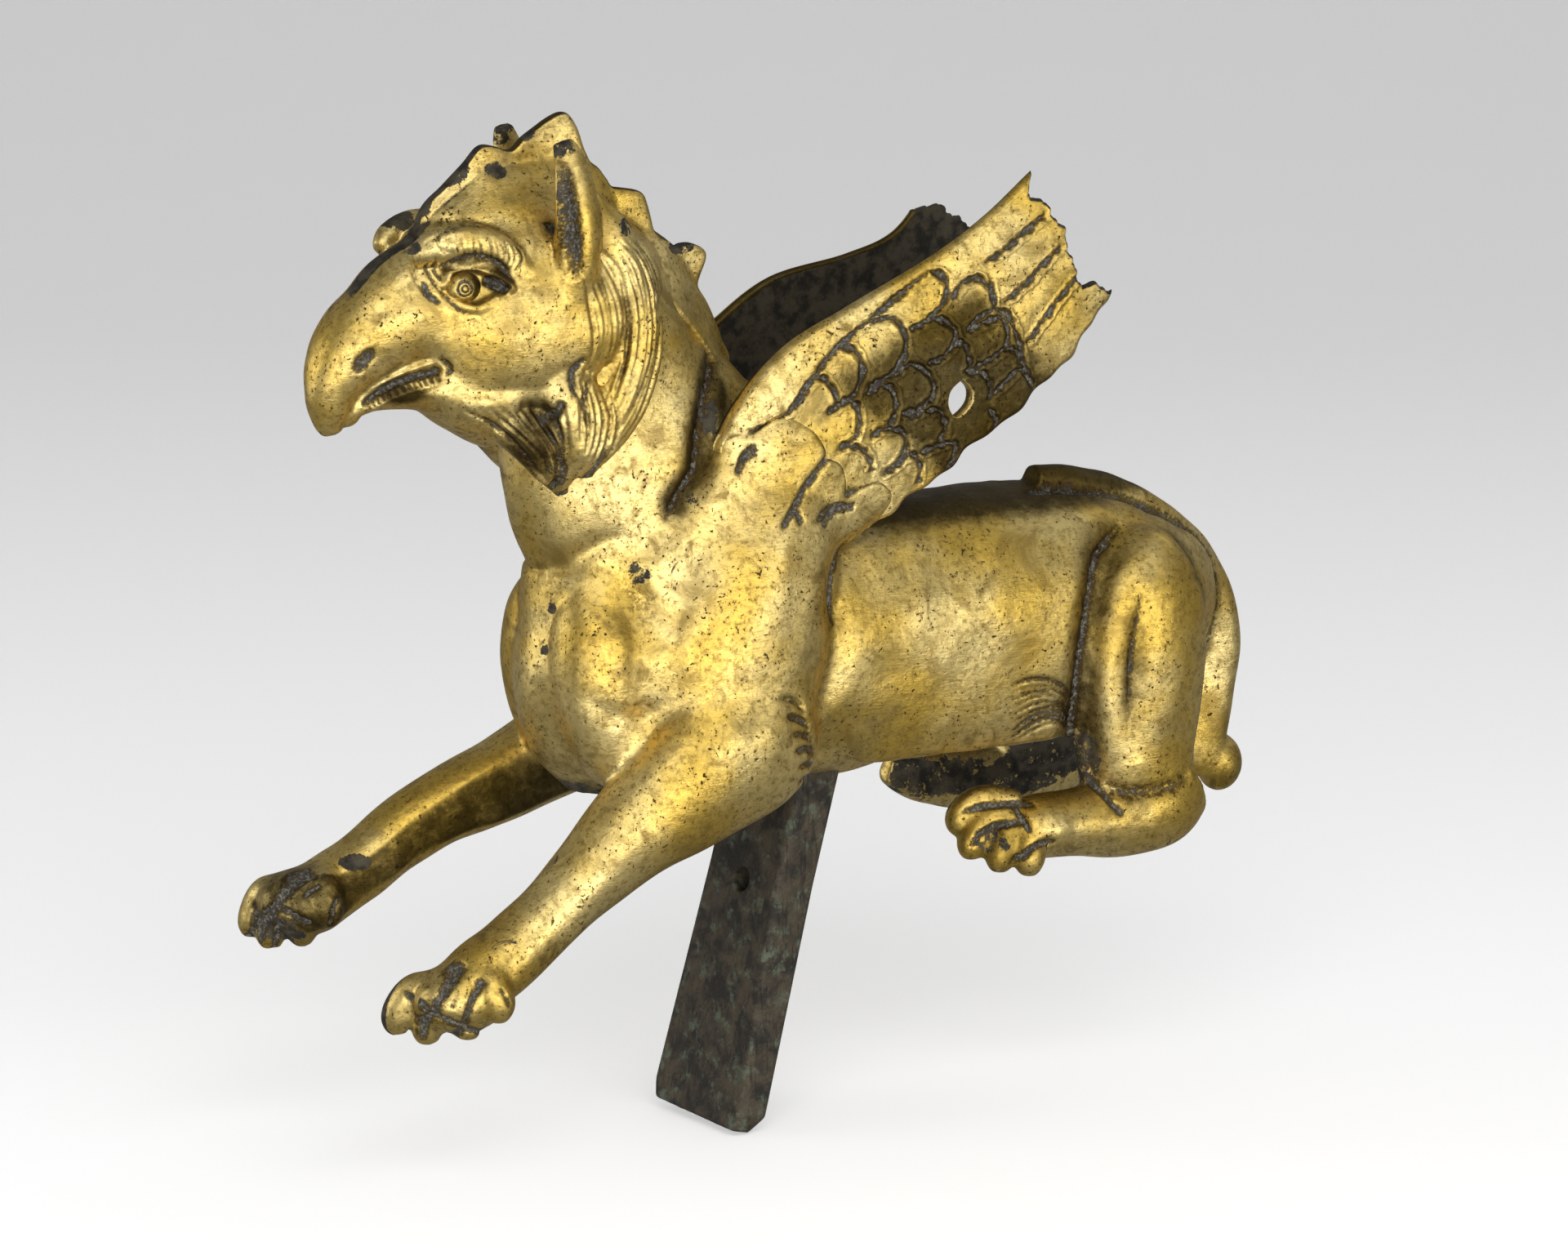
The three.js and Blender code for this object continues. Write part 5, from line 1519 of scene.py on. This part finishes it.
# Feathers of the wings in shares (s, t), from the root outwards
ROOT_FEATHERS = [
    [(.247, .11), (.309, .16), (.336, .24), (.336, .36), (.306, .48), (.267, .50), (.185, .50), (.067, .47)],
    [(.132, .50), (.105, .58)], [(.127, .71), (.186, .73), (.226, .80)],
    [(.142, .13), (.184, .14), (.215, .18)],
    [(.299, .50), (.306, .57), (.281, .66), (.244, .72)],
    [(.233, .72), (.285, .74), (.32, .79), (.312, .89), (.272, .98), (.222, 1.04)],
]
BLADE_FEATHERS = [
    [(.364, .21), (.414, .20), (.424, .25), (.406, .34), (.371, .36)],
    [(.423, .18), (.488, .15), (.509, .20), (.482, .32), (.433, .38), (.397, .36)],
    [(.57, .12), (.597, .16), (.593, .26), (.558, .37), (.507, .41), (.464, .39)],
    [(.692, .06), (.702, .13), (.68, .23), (.639, .27), (.6, .27)],
    [(.683, .25), (.716, .22), (.75, .25), (.749, .35), (.729, .43), (.694, .43), (.663, .44)],
    [(.38, .36), (.422, .38), (.404, .48), (.362, .54), (.326, .52)],
    [(.45, .42), (.486, .42), (.491, .49), (.461, .58), (.427, .61)],
    [(.512, .41), (.558, .43), (.558, .55), (.534, .63), (.493, .64), (.464, .61)],
    [(.6, .27), (.643, .30), (.649, .40), (.629, .47), (.598, .49), (.574, .47)],
    [(.66, .45), (.696, .47), (.726, .51), (.715, .60), (.689, .67)],
    [(.63, .46), (.642, .50), (.625, .60), (.606, .64)],
    [(.342, .54), (.35, .60), (.341, .68), (.318, .73)],
    [(.382, .59), (.416, .61), (.433, .69), (.402, .77), (.362, .79), (.331, .78)],
    [(.468, .65), (.503, .67), (.518, .73), (.495, .82), (.467, .85)],
    [(.606, .64), (.626, .70), (.617, .79), (.598, .84)], [(.615, .64), (.649, .66), (.689, .67)],
    [(.689, .67), (.699, .72), (.689, .82)], [(.356, .80), (.404, .80), (.402, .87), (.361, .95)],
    [(.421, .83), (.459, .86), (.486, .91), (.46, .97), (.433, .99)],
    [(.607, .83), (.647, .82), (.682, .83), (.672, .95)], [(.583, .88), (.576, .96), (.554, 1.0)],
    [(.247, .11), (.33, .21), (.423, .18), (.503, .14), (.57, .11), (.614, .09), (.659, .07), (.692, .06)],
    [(.77, .29), (.731, .44), (.741, .53), (.716, .71), (.69, .83), (.672, .96)],
]
QUILLS = [
    [(.786, .20), (.837, .22), (.896, .23), (.965, .26)],
    [(.754, .45), (.825, .46), (.888, .46), (.949, .48)],
    [(.729, .73), (.805, .70), (.882, .69), (.948, .71)],
]
HOLE = [(0.594, 0.65), (0.589, 0.735), (0.566, 0.795), (0.53, 0.805), (0.537, 0.725), (0.563, 0.662)]


def main() -> None:
    """Builds the pieces in order and sets the stage."""
    logging.basicConfig(level=logging.INFO, format="%(message)s")
    gilding = Gilding().build()
    Body().build(gilding)
    Head().build(gilding)
    Eye("near_eye", NEAR).build(gilding)
    Eye("far_eye", FAR).build(gilding)
    Wing("near_wing", NEAR_WING, BLADE_FEATHERS, QUILLS, HOLE).build(gilding)
    Wing("far_wing", FAR_WING, BLADE_FEATHERS, QUILLS, along=200, across=116).build(gilding)
    Tang().build(BareBronze().build())
    Studio().build()


if __name__ == "__main__":
    main()
